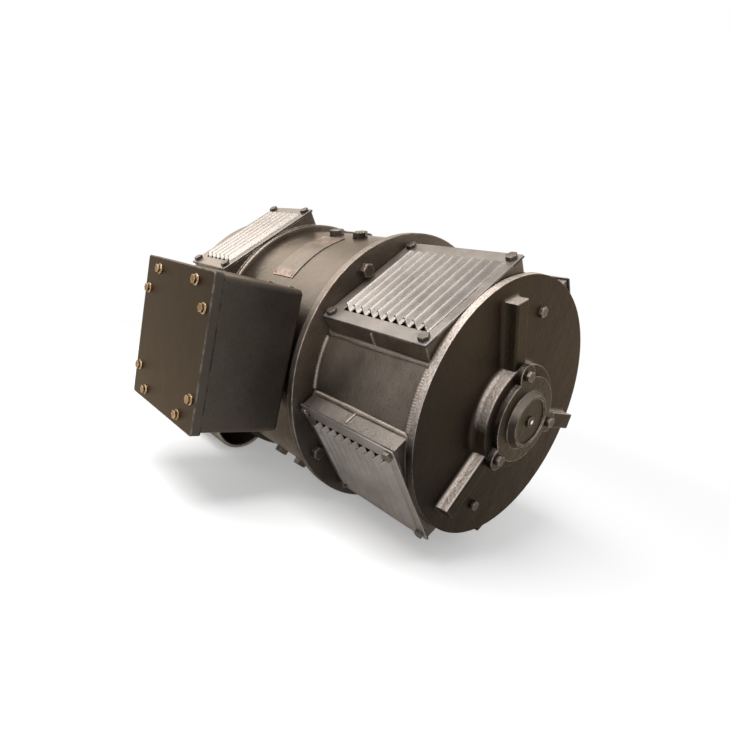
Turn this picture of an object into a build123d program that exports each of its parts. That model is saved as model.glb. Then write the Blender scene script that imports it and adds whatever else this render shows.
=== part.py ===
from build123d import *

import os
from math import atan2, cos, degrees, radians, sin, sqrt

os.makedirs("parts", exist_ok=True)

# The shaft lies along X. The origin is the centre of the drive face, +X points out along the
# shaft extension, +Y towards the terminal box, +Z up. All sizes are in millimetres.

# Lengths along the shaft, from the drive face towards the commutator end
drive_plate_t = 20.0
drive_shell_l = 180.0
yoke_l = 289.5
flange_t = 14.0
comm_shell_l = 242.5
comm_plate_t = 14.0

# Frame diameters, as radii. All of them follow the yoke.
yoke_r = 272.5
yoke_wall = 34.0
yoke_in_r = yoke_r - yoke_wall
flange_step = 13.5
flange_r = yoke_r + flange_step
comm_shell_step = 39.5
comm_shell_r = yoke_r - comm_shell_step
comm_shell_wall = 8.0
comm_shell_in_r = comm_shell_r - comm_shell_wall
comm_plate_lap = 7.0
comm_plate_r = comm_shell_r + comm_plate_lap
drive_rim_r = flange_r
drive_rim_l = 14.0
drive_rim_round = 5.0
drive_shell_step = 5.5
drive_shell_r = yoke_r + drive_shell_step
drive_shell_wall = 8.0
drive_shell_in_r = drive_shell_r - drive_shell_wall
drive_front_t = 16.0

# The covers, ribs and poles sit this many degrees round from the terminal box's centre line
frame_turn = 3.0

# Clearances and fits, and how far a cutting shape runs past the face that it cuts
seat_gap = 0.1
curve_gap = 0.3
hole_gap = 0.5
thread_gap = 0.15
shaft_clearance = 1.0
overcut = 1.0

# Louvred covers
sheet = 2.5
gasket_t = 2.0
cover_margin = 13.5
cover_round = 3.0
cover_end_gap = 1.25
comm_cover_l = comm_shell_l - 2 * cover_end_gap
comm_cover_w = 243.0
comm_cover_stand = 2.5
comm_cover_seat = comm_shell_r + comm_cover_stand
comm_cover_angles = [frame_turn + a for a in (45.0, 135.0, 225.0, 315.0)]
drive_cover_ends = 22.0
drive_cover_l = drive_shell_l - drive_cover_ends
drive_cover_w = 267.0
drive_cover_stand = 0.5
drive_cover_seat = drive_rim_r + drive_cover_stand
drive_cover_angles = [frame_turn + a for a in (47.0, 133.0)]
louvre_pitch = 19.5
louvre_margin = 43.5
louvre_shift = 6.0
louvre_rise = 9.0
louvre_bevel = 9.0
louvre_crest = 2.0
louvre_end = 27.0
louvre_sill = 3.0
louvre_skin = 2.0
louvre_slot_lift = 1.0
collar_inset = 2.5
collar_wall = 10.0
collar_pad = 27.0

# Hexagon bolts: across flats, head height, shank radius and length
bolt_chamfer_share = 0.12
cover_bolt_af = 17.0
cover_bolt_head = 7.0
cover_bolt_r = 5.0
cover_bolt_l = 22.0
flange_bolt_af = 24.0
flange_bolt_head = 12.0
flange_bolt_r = 8.0
flange_bolt_l = 44.0
yoke_bolt_inset = 16.5
yoke_bolt_circle_r = yoke_r - yoke_bolt_inset
pole_bolt_af = 27.0
pole_bolt_head = 14.0
pole_bolt_r = 8.0
pole_bolt_l = 66.0
pole_bolt_spacing = 76.0
spot_face_r = 17.0
spot_face_depth = 2.0
spot_face_r0 = yoke_r - spot_face_depth
rocker_bolt_l = 34.0
rocker_bolt_angles = [frame_turn + a for a in (90.0, 270.0)]

# Commutator end plate
boss_r = 96.0
boss_proud = 28.0
boss_inner = 30.0
boss_round = 3.0
rib_angles = [frame_turn + a for a in (60.0, 180.0, 300.0)]
rib_w = 30.0
rib_proud = 24.0
rib_end_gap = 29.0
rib_end_r = comm_plate_r - rib_end_gap
rib_round = 4.0

# Bearings: seat radius, outside radius, width, ball radius and count
comm_bearing = (30.0, 65.0, 31.0, 11.0, 8)
drive_bearing = (40.0, 85.0, 39.0, 14.0, 8)
race_share = 0.3
comm_bearing_inset = 16.0
drive_bearing_x0 = -70.0
cage_t = 4.0
cage_share = 0.75
drive_hub_r = 118.0
drive_hub_l = 92.0
drive_hub_root = 12.0
drive_edge_chamfer = 2.0

# Bearing caps
cap_r = 78.0
cap_ear_r = 19.0
cap_ear_circle_r = 86.0
cap_t = 11.0
cap_ring_r = 46.0
cap_ring_wall = 4.0
cap_ring_t = 11.0
cap_ring_slope = 6.6
cap_wall = 9.0
cap_dish = 3.0
cap_hollow_gap = 1.0
cap_bolt_af = 17.0
cap_bolt_head = 7.0
cap_bolt_r = 5.0
drive_cap_r = 112.0
drive_cap_t = 10.0
drive_cap_bolt_circle_r = 100.0
drive_cap_bolt_count = 6
drive_cap_bolt_turn = 30.0
inner_cap_t = 9.0
plug_r = 7.0
plug_lip = 3.0
plug_proud = 1.0

# Shaft and rotor
extension_r = 35.0
extension_l = 140.0
extension_chamfer = 2.0
shoulder_x = 2.0
drive_journal_r = 37.5
fan_seat_r = 50.0
core_seat_r = 55.0
comm_seat_r = 45.0
comm_journal_r = 32.5
comm_shaft_end = 14.0
comm_shoulder = 12.0
key_w = 20.0
key_depth = 7.5
key_l = 110.0
key_start = 15.0

# Armature and commutator
core_r = 150.0
core_end_space = 39.75
core_l = yoke_l - 2 * core_end_space
core_vents = 8
core_vent_r = 9.0
slot_count = 36
slot_w = 9.0
slot_depth = 30.0
slot_wedge_t = 1.5
slot_liner_t = 0.5
winding_gap = 0.2
coil_side_proud = 2.0
overhang_l = 46.0
overhang_in_r = 112.0
overhang_out_r = 147.0
overhang_round = 10.0
lead_inset = 8.0
lead_foot_in = 12.0
lead_foot_out = 2.0
commutator_r = 110.0
commutator_in_r = 72.0
commutator_inset = 56.0
commutator_l = 96.0
riser_r = 128.0
riser_t = 12.0
bar_count = 60
mica_w = 1.2
mica_depth = 1.6
hub_rim_t = 9.0
hub_clamp = 12.0
hub_clamp_slope = 6.0
hub_riser_clamp = 8.0
bar_chamfer = 2.0

# Fan
fan_space = 56.0
fan_r = drive_shell_in_r - fan_space
fan_in_r = 120.0
fan_disc_x0 = -128.0
fan_disc_t = 5.0
fan_blade_w = 40.0
fan_blade_t = 5.0
fan_blades = 14
fan_hub_r = 72.0
fan_hub_l = 46.0
fan_hub_root = 12.0

# Field poles
air_gap = 3.0
main_pole_angles = [frame_turn + a for a in (67.5, 157.5, 247.5, 337.5)]
inter_pole_angles = [frame_turn + a for a in (22.5, 112.5, 202.5, 292.5)]
main_core_w = 90.0
main_shoe_half_angle = 30.0
main_shoe_t = 13.0
main_pole_l = core_l
main_coil_t = 24.0
main_coil_gap = 16.5
main_coil_top_r = yoke_in_r - main_coil_gap
inter_core_w = 26.0
inter_pole_ends = 20.0
inter_pole_l = core_l - inter_pole_ends
inter_air_gap = 6.0
inter_coil_t = 11.0
inter_coil_bottom_r = 176.0
inter_coil_gap = 10.5
inter_coil_top_r = yoke_in_r - inter_coil_gap
coil_gap = 0.5

# Brush gear
rocker_in_r = 136.0
rocker_gap = 29.0
rocker_out_r = comm_shell_in_r - rocker_gap
rocker_bolt_inset = 14.0
rocker_bolt_circle_r = rocker_out_r - rocker_bolt_inset
rocker_t = 12.0
arm_offset = 31.0
arm_height_r = 150.0
arm_r = 8.0
arm_l = 138.0
insulator_r = 14.0
insulator_l = 18.0
brush_t = 12.0
brush_w = 32.0
brush_l = 42.0
brush_gap = 0.2
brush_from_bar_end = (26.0, 74.0)
box_wall = 3.0
box_lift = 2.0
box_h = 34.0
pin_offset = 24.0
pin_height_r = 146.0
pin_r = 3.0
finger_w = 10.0
finger_t = 4.0
finger_hub_r = 6.0
finger_nose_r = 3.0
finger_gap = 0.4
finger_rise = 15.0

# Air hoods under the drive end
hood_r = 77.0
hood_wall = 5.0
hood_sink = 5.7
hood_inset = 3.0
hood_ends = 40.0
hood_l = drive_shell_l - hood_ends
vent_l = 104.0
vent_w = 96.0

# Terminal box
box_from_yoke_end = 135.0
lid_size = 272.0
box_depth = 177.5
lid_lip = 18.0
lid_t = 4.0
lid_wall = 2.5
lid_round = 6.0
tray_gap = 0.5
box_lift_y = 2.0
case_wall = 6.0
case_round = 10.0
case_flange_w = 26.0
case_flange_t = 8.0
lid_gasket_t = 2.5
lid_gasket_inset = 1.0
lid_bolt_long = 116.0
lid_bolt_short = 76.0
lid_bolt_af = 14.0
lid_bolt_head = 6.0
lid_bolt_r = 4.0
lid_bolt_l = 20.0
washer_r = 9.5
washer_t = 2.0
neck_size = 140.0
neck_wall = 8.0
neck_opening = 120.0
lead_hole_r = 40.0
board_w = 180.0
board_h = 150.0
board_t = 12.0
pillar_l = 30.0
pillar_r = 9.0
pillar_inset = 13.0
stud_r = 6.0
stud_l = 46.0
stud_spacing = 50.0
nut_af = 19.0
nut_t = 10.0
gland_height = 90.0
gland_spacing = 110.0
gland_plate_l = 210.0
gland_plate_w = 104.0
gland_plate_t = 6.0
gland_plate_lap = 12.0
gland_screw_af = 10.0
gland_screw_head = 4.0
gland_bore_r = 17.0
gland_thread_r = 22.0
gland_flange_r = 29.0
gland_flange_t = 8.0
gland_l = 40.0
gland_nut_af = 50.0
gland_nut_t = 12.0

# Data plate
plate_t = 1.2
plate_l = 70.0
plate_shift = 19.25
plate_from = 33.0
plate_to = 65.0
rivet_r = 2.5
rivet_h = 1.6
rivet_inset = 6.0

# Drive flange
drive_bolt_inset = 20.0
drive_bolt_circle_r = drive_shell_in_r - drive_bolt_inset
drive_bolt_count = 8
drive_bolt_turn = 22.5
drive_bolt_hole_r = 8.75
housing_bolt_r = 6.0
housing_bolt_af = 18.0
housing_bolt_head = 8.0
housing_bolt_l = 38.0
housing_bolt_count = 8

# Stations along X that follow from the lengths
drive_shell_x1 = -drive_plate_t
drive_shell_x0 = drive_shell_x1 - drive_shell_l
yoke_x0 = drive_shell_x0 - yoke_l
yoke_mid_x = (yoke_x0 + drive_shell_x0) / 2
flange_x0 = yoke_x0 - flange_t
comm_shell_x0 = flange_x0 - comm_shell_l
comm_face_x = comm_shell_x0 - comm_plate_t
boss_face_x = comm_face_x - boss_proud
boss_back_x = comm_shell_x0 + boss_inner
comm_cover_x = (flange_x0 + comm_shell_x0) / 2
drive_cover_x = drive_shell_x1 - cover_margin - drive_cover_l / 2
core_x0 = yoke_mid_x - core_l / 2
core_x1 = yoke_mid_x + core_l / 2
comm_bearing_x0 = comm_face_x - comm_bearing_inset
commutator_x0 = comm_shell_x0 + commutator_inset
brush_x = [commutator_x0 + x for x in brush_from_bar_end]
hood_x0 = drive_shell_x0 + hood_inset
box_x = yoke_x0 + box_from_yoke_end
plate_x0 = yoke_mid_x - plate_shift
box_back_y = flange_r + box_lift_y
lid_face_y = box_back_y + box_depth
gland_y = box_back_y + gland_height


def radial_seats(angles, x=0.0, r=0.0):
    """Places round the shaft: local Z points outwards, local X along the shaft."""
    seats = []
    for angle in angles:
        c, s = cos(radians(angle)), sin(radians(angle))
        plane = Plane(origin=(x, r * c, r * s), x_dir=(1, 0, 0), z_dir=(0, c, s))
        seats.append(plane.location)
    return seats


def axial_seats(angles, x, r, facing):
    """Places round the shaft: local Z points along the shaft, to +X or -X by facing."""
    seats = []
    for angle in angles:
        c, s = cos(radians(angle)), sin(radians(angle))
        plane = Plane(origin=(x, r * c, r * s), x_dir=(0, c, s), z_dir=(facing, 0, 0))
        seats.append(plane.location)
    return seats


def even_angles(count, start=0.0):
    return [start + 360.0 * n / count for n in range(count)]


def turned(*outline):
    """A body turned about the shaft from points (x, radius)."""
    with BuildPart() as body:
        with BuildSketch(Plane.XZ):
            with BuildLine():
                Polyline(*outline, close=True)
            make_face()
        revolve(axis=Axis.X)
    return body.part


def tube(x0, x1, outer, inner):
    return turned((x0, inner), (x1, inner), (x1, outer), (x0, outer))


def hex_bolt(across, head, shank_r, shank_l):
    """A hexagon bolt: the head stands on local Z = 0 and the shank hangs below it."""
    with BuildPart() as bolt:
        with BuildSketch():
            RegularPolygon(across / 2, 6, major_radius=False)
        extrude(amount=head)
        chamfer(bolt.faces().sort_by(Axis.Z)[-1].edges(), head * bolt_chamfer_share)
        with BuildSketch():
            Circle(shank_r)
        extrude(amount=-shank_l)
    return bolt.part


def write(node, name):
    node.part.label = name
    export_step(node.part, f"parts/{name}.step")


# Yoke: a rolled steel ring with spot faces for the pole bolts, a hole for the leads on the
# terminal box side and tapped holes in both end faces.
pole_bolt_places = []
for side in (-1, 1):
    pole_bolt_x = yoke_mid_x + side * pole_bolt_spacing / 2
    pole_bolt_places += radial_seats(main_pole_angles + inter_pole_angles, pole_bolt_x, spot_face_r0)
flange_bolt_places = axial_seats(comm_cover_angles, flange_x0, yoke_bolt_circle_r, -1)
housing_bolt_places = axial_seats(even_angles(housing_bolt_count),
                                  drive_shell_x0 + drive_front_t, yoke_bolt_circle_r, 1)
with BuildPart() as yoke:
    add(tube(yoke_x0, drive_shell_x0, yoke_r, yoke_in_r))
    with Locations(*pole_bolt_places):
        Cylinder(spot_face_r, pole_bolt_head, align=(Align.CENTER, Align.CENTER, Align.MIN),
                 mode=Mode.SUBTRACT)
        Cylinder(pole_bolt_r + thread_gap, 2 * yoke_wall, mode=Mode.SUBTRACT)
    with Locations(*flange_bolt_places):
        Cylinder(flange_bolt_r + thread_gap, 2 * flange_bolt_l + hole_gap, mode=Mode.SUBTRACT)
    with Locations(*housing_bolt_places):
        Cylinder(housing_bolt_r + thread_gap, 2 * housing_bolt_l + hole_gap, mode=Mode.SUBTRACT)
    with BuildSketch(Plane.XZ.offset(-yoke_r)):
        with Locations((box_x, 0)):
            Circle(lead_hole_r)
    extrude(amount=2 * yoke_wall, mode=Mode.SUBTRACT)
write(yoke, "yoke")


def collar(length, width, seat_r, shell_r, shell_wall):
    """A frame that stands on the shell and carries a cover, in the cover's local axes."""
    depth = seat_r - sqrt(shell_r**2 - (width / 2) ** 2) + shell_wall
    with BuildPart() as frame:
        with BuildSketch(Plane.XY.offset(-depth)):
            Rectangle(length - 2 * collar_inset, width - 2 * collar_inset)
        extrude(amount=depth)
    return frame.part


def window(length, width, seat_r, shell_r, shell_wall):
    """The opening in a collar, with a pad left for the bolt in each corner."""
    depth = seat_r - sqrt((shell_r - shell_wall) ** 2 - (width / 2) ** 2)
    clear_l = length - 2 * collar_inset - 2 * collar_wall
    clear_w = width - 2 * collar_inset - 2 * collar_wall
    pad = collar_pad - collar_wall
    with BuildPart() as hole:
        with BuildSketch():
            Rectangle(clear_l, clear_w)
            with Locations((clear_l / 2, clear_w / 2), (-clear_l / 2, clear_w / 2),
                           (clear_l / 2, -clear_w / 2), (-clear_l / 2, -clear_w / 2)):
                Rectangle(2 * pad, 2 * pad, mode=Mode.SUBTRACT)
        extrude(amount=-depth)
    return hole.part


def corner_points(length, width):
    half_l = length / 2 - cover_margin
    half_w = width / 2 - cover_margin
    return [(a * half_l, b * half_w) for a in (-1, 1) for b in (-1, 1)]


def bolt_wells(length, width):
    """The tapped holes in a collar's corners, down from its seat."""
    with BuildPart() as wells:
        with BuildSketch():
            with Locations(*corner_points(length, width)):
                Circle(cover_bolt_r + thread_gap)
        extrude(amount=-cover_bolt_l)
    return wells.part


# Commutator end housing: a shell welded to the flange, with a collar round each of its four
# windows.
comm_windows = radial_seats(comm_cover_angles, comm_cover_x, comm_cover_seat)
comm_frame = (comm_cover_l, comm_cover_w, comm_cover_seat, comm_shell_r, comm_shell_wall)
comm_collar = collar(*comm_frame)
comm_window = window(*comm_frame)
comm_wells = bolt_wells(comm_cover_l, comm_cover_w)
with BuildPart() as commutator_end_housing:
    add(turned((comm_shell_x0, 0), (flange_x0, 0), (flange_x0, comm_shell_r),
               (comm_shell_x0, comm_shell_r)))
    add(turned((flange_x0, 0), (yoke_x0, 0), (yoke_x0, flange_r), (flange_x0, flange_r)))
    with Locations(*comm_windows):
        add(comm_collar)
    add(turned((comm_shell_x0, 0), (yoke_x0, 0), (yoke_x0, comm_shell_in_r),
               (comm_shell_x0, comm_shell_in_r)), mode=Mode.SUBTRACT)
    with Locations(*comm_windows):
        add(comm_window, mode=Mode.SUBTRACT)
        add(comm_wells, mode=Mode.SUBTRACT)
    with Locations(*flange_bolt_places):
        Cylinder(flange_bolt_r + hole_gap, 4 * flange_t, mode=Mode.SUBTRACT)
write(commutator_end_housing, "commutator_end_housing")

# Commutator end plate: a thick disc with a bearing boss and three radial bars that stiffen it.
rocker_bolt_places = axial_seats(rocker_bolt_angles, comm_face_x, rocker_bolt_circle_r, -1)
cap_bolt_places = axial_seats(rib_angles, boss_face_x - cap_t, cap_ear_circle_r, -1)
comm_bore_r = comm_bearing[1] + seat_gap
with BuildPart() as commutator_end_plate:
    add(turned((comm_face_x, 0), (comm_shell_x0, 0), (comm_shell_x0, comm_plate_r),
               (comm_face_x, comm_plate_r)))
    with BuildSketch(Plane.YZ.offset(comm_face_x)):
        for angle in rib_angles:
            with Locations(Rot(0, 0, angle)):
                with Locations((rib_end_r / 2, 0)):
                    Rectangle(rib_end_r, rib_w)
    extrude(amount=-rib_proud)
    fillet(commutator_end_plate.faces().sort_by(Axis.X)[0].edges(), rib_round)
    add(tube(boss_face_x, boss_back_x, boss_r, comm_bore_r))
    boss_rim = commutator_end_plate.edges().filter_by(GeomType.CIRCLE).group_by(Axis.X)[0]
    fillet(boss_rim.sort_by(SortBy.RADIUS)[-1], boss_round)
    add(turned((boss_face_x, 0), (boss_back_x, 0), (boss_back_x, comm_bore_r),
               (boss_face_x, comm_bore_r)), mode=Mode.SUBTRACT)
    with Locations(*cap_bolt_places):
        Cylinder(cap_bolt_r + hole_gap, 4 * (boss_back_x - boss_face_x), mode=Mode.SUBTRACT)
    with Locations(*rocker_bolt_places):
        Cylinder(cover_bolt_r + hole_gap, 4 * comm_plate_t, mode=Mode.SUBTRACT)
write(commutator_end_plate, "commutator_end_plate")

rocker_bolt = hex_bolt(cover_bolt_af, cover_bolt_head, cover_bolt_r, rocker_bolt_l)
with BuildPart() as rocker_bolts:
    with Locations(*rocker_bolt_places):
        add(rocker_bolt)
write(rocker_bolts, "rocker_bolts")


def eared_disc(x0, x1):
    """A round cap with three ears for its bolts."""
    with BuildPart() as disc:
        with BuildSketch(Plane.YZ.offset(x0)):
            Circle(cap_r)
            for angle in rib_angles:
                with Locations(Rot(0, 0, angle)):
                    with Locations((cap_ear_circle_r, 0)):
                        Circle(cap_ear_r)
                    with Locations((cap_ear_circle_r / 2, 0)):
                        Rectangle(cap_ear_circle_r, 2 * cap_ear_r)
        extrude(amount=x1 - x0)
    return disc.part


# Outer bearing cap at the commutator end: three ears, a raised ring and a spigot that holds
# the outer race.
cap_face_x = boss_face_x - cap_t
cap_ring_x = cap_face_x - cap_ring_t
cap_dish_x = cap_ring_x + cap_dish
cap_hollow_x = cap_dish_x + cap_wall
shaft_end_x = comm_bearing_x0 - comm_shaft_end
with BuildPart() as commutator_end_cap:
    add(eared_disc(cap_face_x, boss_face_x))
    add(tube(boss_face_x, comm_bearing_x0, comm_bearing[1], comm_bearing[1] - cap_wall))
    add(turned((cap_ring_x, 0), (cap_face_x, 0), (cap_face_x, cap_ring_r + cap_ring_slope),
               (cap_ring_x, cap_ring_r)))
    add(turned((cap_ring_x, 0), (cap_dish_x, 0), (cap_dish_x, cap_ring_r - cap_ring_wall),
               (cap_ring_x, cap_ring_r - cap_ring_wall)), mode=Mode.SUBTRACT)
    add(turned((cap_hollow_x, 0), (comm_bearing_x0, 0),
               (comm_bearing_x0, comm_bearing[1] - cap_wall),
               (cap_face_x + cap_hollow_gap, comm_bearing[1] - cap_wall)), mode=Mode.SUBTRACT)
    with Locations(*cap_bolt_places):
        Cylinder(cap_bolt_r + hole_gap, 4 * cap_t, mode=Mode.SUBTRACT)
    add(turned((cap_ring_x, 0), (boss_face_x, 0), (boss_face_x, plug_r + thread_gap),
               (cap_ring_x, plug_r + thread_gap)), mode=Mode.SUBTRACT)
write(commutator_end_cap, "commutator_end_cap")

# A steel screw plug closes the hole in the middle of the cap.
with BuildPart() as cap_plug:
    add(turned((cap_dish_x, 0), (cap_hollow_x, 0), (cap_hollow_x, plug_r), (cap_dish_x, plug_r)))
    add(turned((cap_ring_x - plug_proud, 0), (cap_dish_x, 0), (cap_dish_x, plug_r + plug_lip),
               (cap_ring_x, plug_r + plug_lip), (cap_ring_x - plug_proud, plug_r + plug_proud)))
write(cap_plug, "cap_plug")

comm_bearing_x1 = comm_bearing_x0 + comm_bearing[2]
inner_cap_x1 = boss_back_x + inner_cap_t
with BuildPart() as commutator_inner_cap:
    add(eared_disc(boss_back_x, inner_cap_x1))
    add(tube(comm_bearing_x1, boss_back_x, comm_bearing[1], comm_bearing[1] - cap_wall))
    add(turned((comm_bearing_x0, 0), (inner_cap_x1, 0),
               (inner_cap_x1, comm_journal_r + shaft_clearance),
               (comm_bearing_x0, comm_journal_r + shaft_clearance)), mode=Mode.SUBTRACT)
    with Locations(*cap_bolt_places):
        Cylinder(cap_bolt_r + thread_gap, 4 * (inner_cap_x1 - boss_face_x), mode=Mode.SUBTRACT)
write(commutator_inner_cap, "commutator_inner_cap")


def louvred_cover(length, width):
    """A pressed sheet cover: sawtooth louvres open towards +X and at their bevelled ends."""
    count = round((length - louvre_margin) / louvre_pitch)
    span = count * louvre_pitch
    reach = width - 2 * louvre_end
    slot_top = sheet + louvre_rise - louvre_skin
    with BuildPart() as cover:
        with BuildSketch():
            RectangleRounded(length, width, cover_round)
            with Locations(*corner_points(length, width)):
                Circle(cover_bolt_r + hole_gap, mode=Mode.SUBTRACT)
        extrude(amount=sheet)
        for n in range(count):
            x_tail = -span / 2 - louvre_shift + n * louvre_pitch
            x_lip = x_tail + louvre_pitch - sheet
            with BuildSketch(Plane.XY.offset(sheet)):
                with Locations(((x_tail + x_lip) / 2, 0)):
                    Rectangle(x_lip - x_tail, reach)
            with BuildSketch(Plane.XY.offset(sheet + louvre_rise)):
                with Locations((x_lip - louvre_crest / 2, 0)):
                    Rectangle(louvre_crest, reach - 2 * louvre_bevel)
            loft()
            with BuildSketch(Plane.XZ.offset(-(reach / 2 - louvre_sill))):
                with BuildLine():
                    Polyline((x_tail + 2 * sheet, 0), (x_lip + sheet / 2, 0),
                             (x_lip + sheet / 2, slot_top), (x_lip - louvre_crest, slot_top),
                             (x_tail + 2 * sheet, louvre_slot_lift), close=True)
                make_face()
            extrude(amount=reach - 2 * louvre_sill, mode=Mode.SUBTRACT)
    return cover.part


def cover_gasket(length, width):
    with BuildPart() as seal:
        with BuildSketch():
            Rectangle(length - 2 * collar_inset, width - 2 * collar_inset)
            Rectangle(length - 2 * collar_inset - 2 * collar_wall,
                      width - 2 * collar_inset - 2 * collar_wall, mode=Mode.SUBTRACT)
            with Locations(*corner_points(length, width)):
                Rectangle(collar_pad, collar_pad)
                Circle(cover_bolt_r + hole_gap, mode=Mode.SUBTRACT)
        extrude(amount=gasket_t)
    return seal.part


# Four louvred covers close the windows over the commutator, and two more the upper windows
# at the drive end. Each is held by a hexagon bolt in every corner.
cover_lift = Location((0, 0, gasket_t))
bolt_lift = gasket_t + sheet
comm_cover = louvred_cover(comm_cover_l, comm_cover_w)
for n, seat in enumerate(comm_windows, 1):
    with BuildPart() as louvred:
        with Locations(seat * cover_lift):
            add(comm_cover)
    write(louvred, f"commutator_cover_{n}")

drive_windows = radial_seats(drive_cover_angles, drive_cover_x, drive_cover_seat)
drive_cover = louvred_cover(drive_cover_l, drive_cover_w)
for n, seat in enumerate(drive_windows, 1):
    with BuildPart() as louvred:
        with Locations(seat * cover_lift):
            add(drive_cover)
    write(louvred, f"drive_cover_{n}")

comm_gasket = cover_gasket(comm_cover_l, comm_cover_w)
drive_gasket = cover_gasket(drive_cover_l, drive_cover_w)
with BuildPart() as cover_gaskets:
    with Locations(*comm_windows):
        add(comm_gasket)
    with Locations(*drive_windows):
        add(drive_gasket)
write(cover_gaskets, "cover_gaskets")

cover_bolt = hex_bolt(cover_bolt_af, cover_bolt_head, cover_bolt_r, cover_bolt_l)
cover_bolt_places = []
for seats, length, width in (
    (comm_windows, comm_cover_l, comm_cover_w),
    (drive_windows, drive_cover_l, drive_cover_w),
):
    heads = [Location((px, py, bolt_lift)) for px, py in corner_points(length, width)]
    cover_bolt_places += [seat * head for seat in seats for head in heads]
with BuildPart() as cover_bolts:
    with Locations(*cover_bolt_places):
        add(cover_bolt)
write(cover_bolts, "cover_bolts")

# Drive end housing: a shell with a rounded rim, a ring that bolts to the yoke from inside,
# collars for the two upper covers and vents under the two hoods.
hood_z = -(flange_r - hood_r)
hood_y = sqrt((drive_shell_r - hood_sink) ** 2 - hood_z**2)
hood_angle = degrees(atan2(hood_z, hood_y))
vent_angles = (hood_angle, 180.0 - hood_angle)
drive_frame = (drive_cover_l, drive_cover_w, drive_cover_seat, drive_shell_r, drive_shell_wall)
drive_collar = collar(*drive_frame)
drive_window = window(*drive_frame)
drive_wells = bolt_wells(drive_cover_l, drive_cover_w)
drive_ring_x1 = drive_shell_x0 + drive_front_t
vent_seats = radial_seats(vent_angles, hood_x0 + hood_l / 2, drive_shell_r)
with BuildPart() as drive_end_housing:
    add(turned((drive_shell_x0, 0), (drive_shell_x0 + drive_rim_l, 0),
               (drive_shell_x0 + drive_rim_l, drive_rim_r), (drive_shell_x0, drive_rim_r)))
    fillet(drive_end_housing.edges().filter_by(GeomType.CIRCLE), drive_rim_round)
    add(turned((drive_shell_x0 + drive_rim_l / 2, 0), (drive_shell_x1, 0),
               (drive_shell_x1, drive_shell_r), (drive_shell_x0 + drive_rim_l / 2, drive_shell_r)))
    with Locations(*drive_windows):
        add(drive_collar)
    add(turned((drive_shell_x0, 0), (drive_shell_x1, 0), (drive_shell_x1, drive_shell_in_r),
               (drive_ring_x1, drive_shell_in_r), (drive_ring_x1, yoke_in_r),
               (drive_shell_x0, yoke_in_r)), mode=Mode.SUBTRACT)
    with Locations(*drive_windows):
        add(drive_window, mode=Mode.SUBTRACT)
        add(drive_wells, mode=Mode.SUBTRACT)
    with Locations(*vent_seats):
        Box(vent_l, vent_w, 4 * drive_shell_wall, mode=Mode.SUBTRACT)
    with Locations(*housing_bolt_places):
        Cylinder(housing_bolt_r + hole_gap, 4 * drive_front_t, mode=Mode.SUBTRACT)
write(drive_end_housing, "drive_end_housing")

# The bolts that hold both end housings to the yoke: four outside at the flange, eight inside.
flange_bolt = hex_bolt(flange_bolt_af, flange_bolt_head, flange_bolt_r, flange_bolt_l)
housing_bolt = hex_bolt(housing_bolt_af, housing_bolt_head, housing_bolt_r, housing_bolt_l)
with BuildPart() as frame_bolts:
    with Locations(*flange_bolt_places):
        add(flange_bolt)
    with Locations(*housing_bolt_places):
        add(housing_bolt)
write(frame_bolts, "frame_bolts")

# Air hoods: half-round cowls welded over the two lower vents, open towards the commutator end.
with BuildPart() as air_hoods:
    for side in (-1, 1):
        with BuildSketch(Plane.YZ.offset(hood_x0)):
            with Locations((side * hood_y, hood_z)):
                Circle(hood_r)
        extrude(amount=hood_l)
    fillet(air_hoods.edges().filter_by(GeomType.CIRCLE).group_by(Axis.X)[-1], 3 * hood_wall)
    for side in (-1, 1):
        with BuildSketch(Plane.YZ.offset(hood_x0)):
            with Locations((side * hood_y, hood_z)):
                Circle(hood_r - hood_wall)
        extrude(amount=hood_l - hood_wall, mode=Mode.SUBTRACT)
    add(turned((drive_shell_x0 - overcut, 0), (drive_shell_x0 + drive_rim_l + curve_gap, 0),
               (drive_shell_x0 + drive_rim_l + curve_gap, drive_rim_r + curve_gap),
               (drive_shell_x0 - overcut, drive_rim_r + curve_gap)), mode=Mode.SUBTRACT)
    add(turned((drive_shell_x0, 0), (drive_shell_x1, 0), (drive_shell_x1, drive_shell_r + seat_gap),
               (drive_shell_x0, drive_shell_r + seat_gap)), mode=Mode.SUBTRACT)
write(air_hoods, "air_hoods")

# Drive end plate: the mounting face with its bolt circle, a recess for the bearing cap and the
# bearing hub.
drive_bore_r = drive_bearing[1] + seat_gap
drive_bolt_places = axial_seats(even_angles(drive_bolt_count, drive_bolt_turn), 0.0,
                                drive_bolt_circle_r, 1)
drive_cap_bolt_places = axial_seats(even_angles(drive_cap_bolt_count, drive_cap_bolt_turn), 0.0,
                                    drive_cap_bolt_circle_r, 1)
with BuildPart() as drive_end_plate:
    add(turned((drive_shell_x1, 0), (0, 0), (0, drive_rim_r), (drive_shell_x1, drive_rim_r)))
    chamfer(drive_end_plate.edges().filter_by(GeomType.CIRCLE).group_by(Axis.X)[-1], drive_edge_chamfer)
    add(turned((-drive_hub_l, 0), (drive_shell_x1, 0), (drive_shell_x1, drive_hub_r + drive_hub_root),
               (-drive_hub_l, drive_hub_r)))
    add(turned((-drive_hub_l, 0), (0, 0), (0, drive_cap_r + seat_gap),
               (-drive_cap_t, drive_cap_r + seat_gap), (-drive_cap_t, drive_bore_r),
               (-drive_hub_l, drive_bore_r)), mode=Mode.SUBTRACT)
    with Locations(*drive_bolt_places):
        Cylinder(drive_bolt_hole_r, 4 * drive_plate_t, mode=Mode.SUBTRACT)
    with Locations(*drive_cap_bolt_places):
        Cylinder(cap_bolt_r + hole_gap, 4 * drive_hub_l, mode=Mode.SUBTRACT)
write(drive_end_plate, "drive_end_plate")

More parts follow.
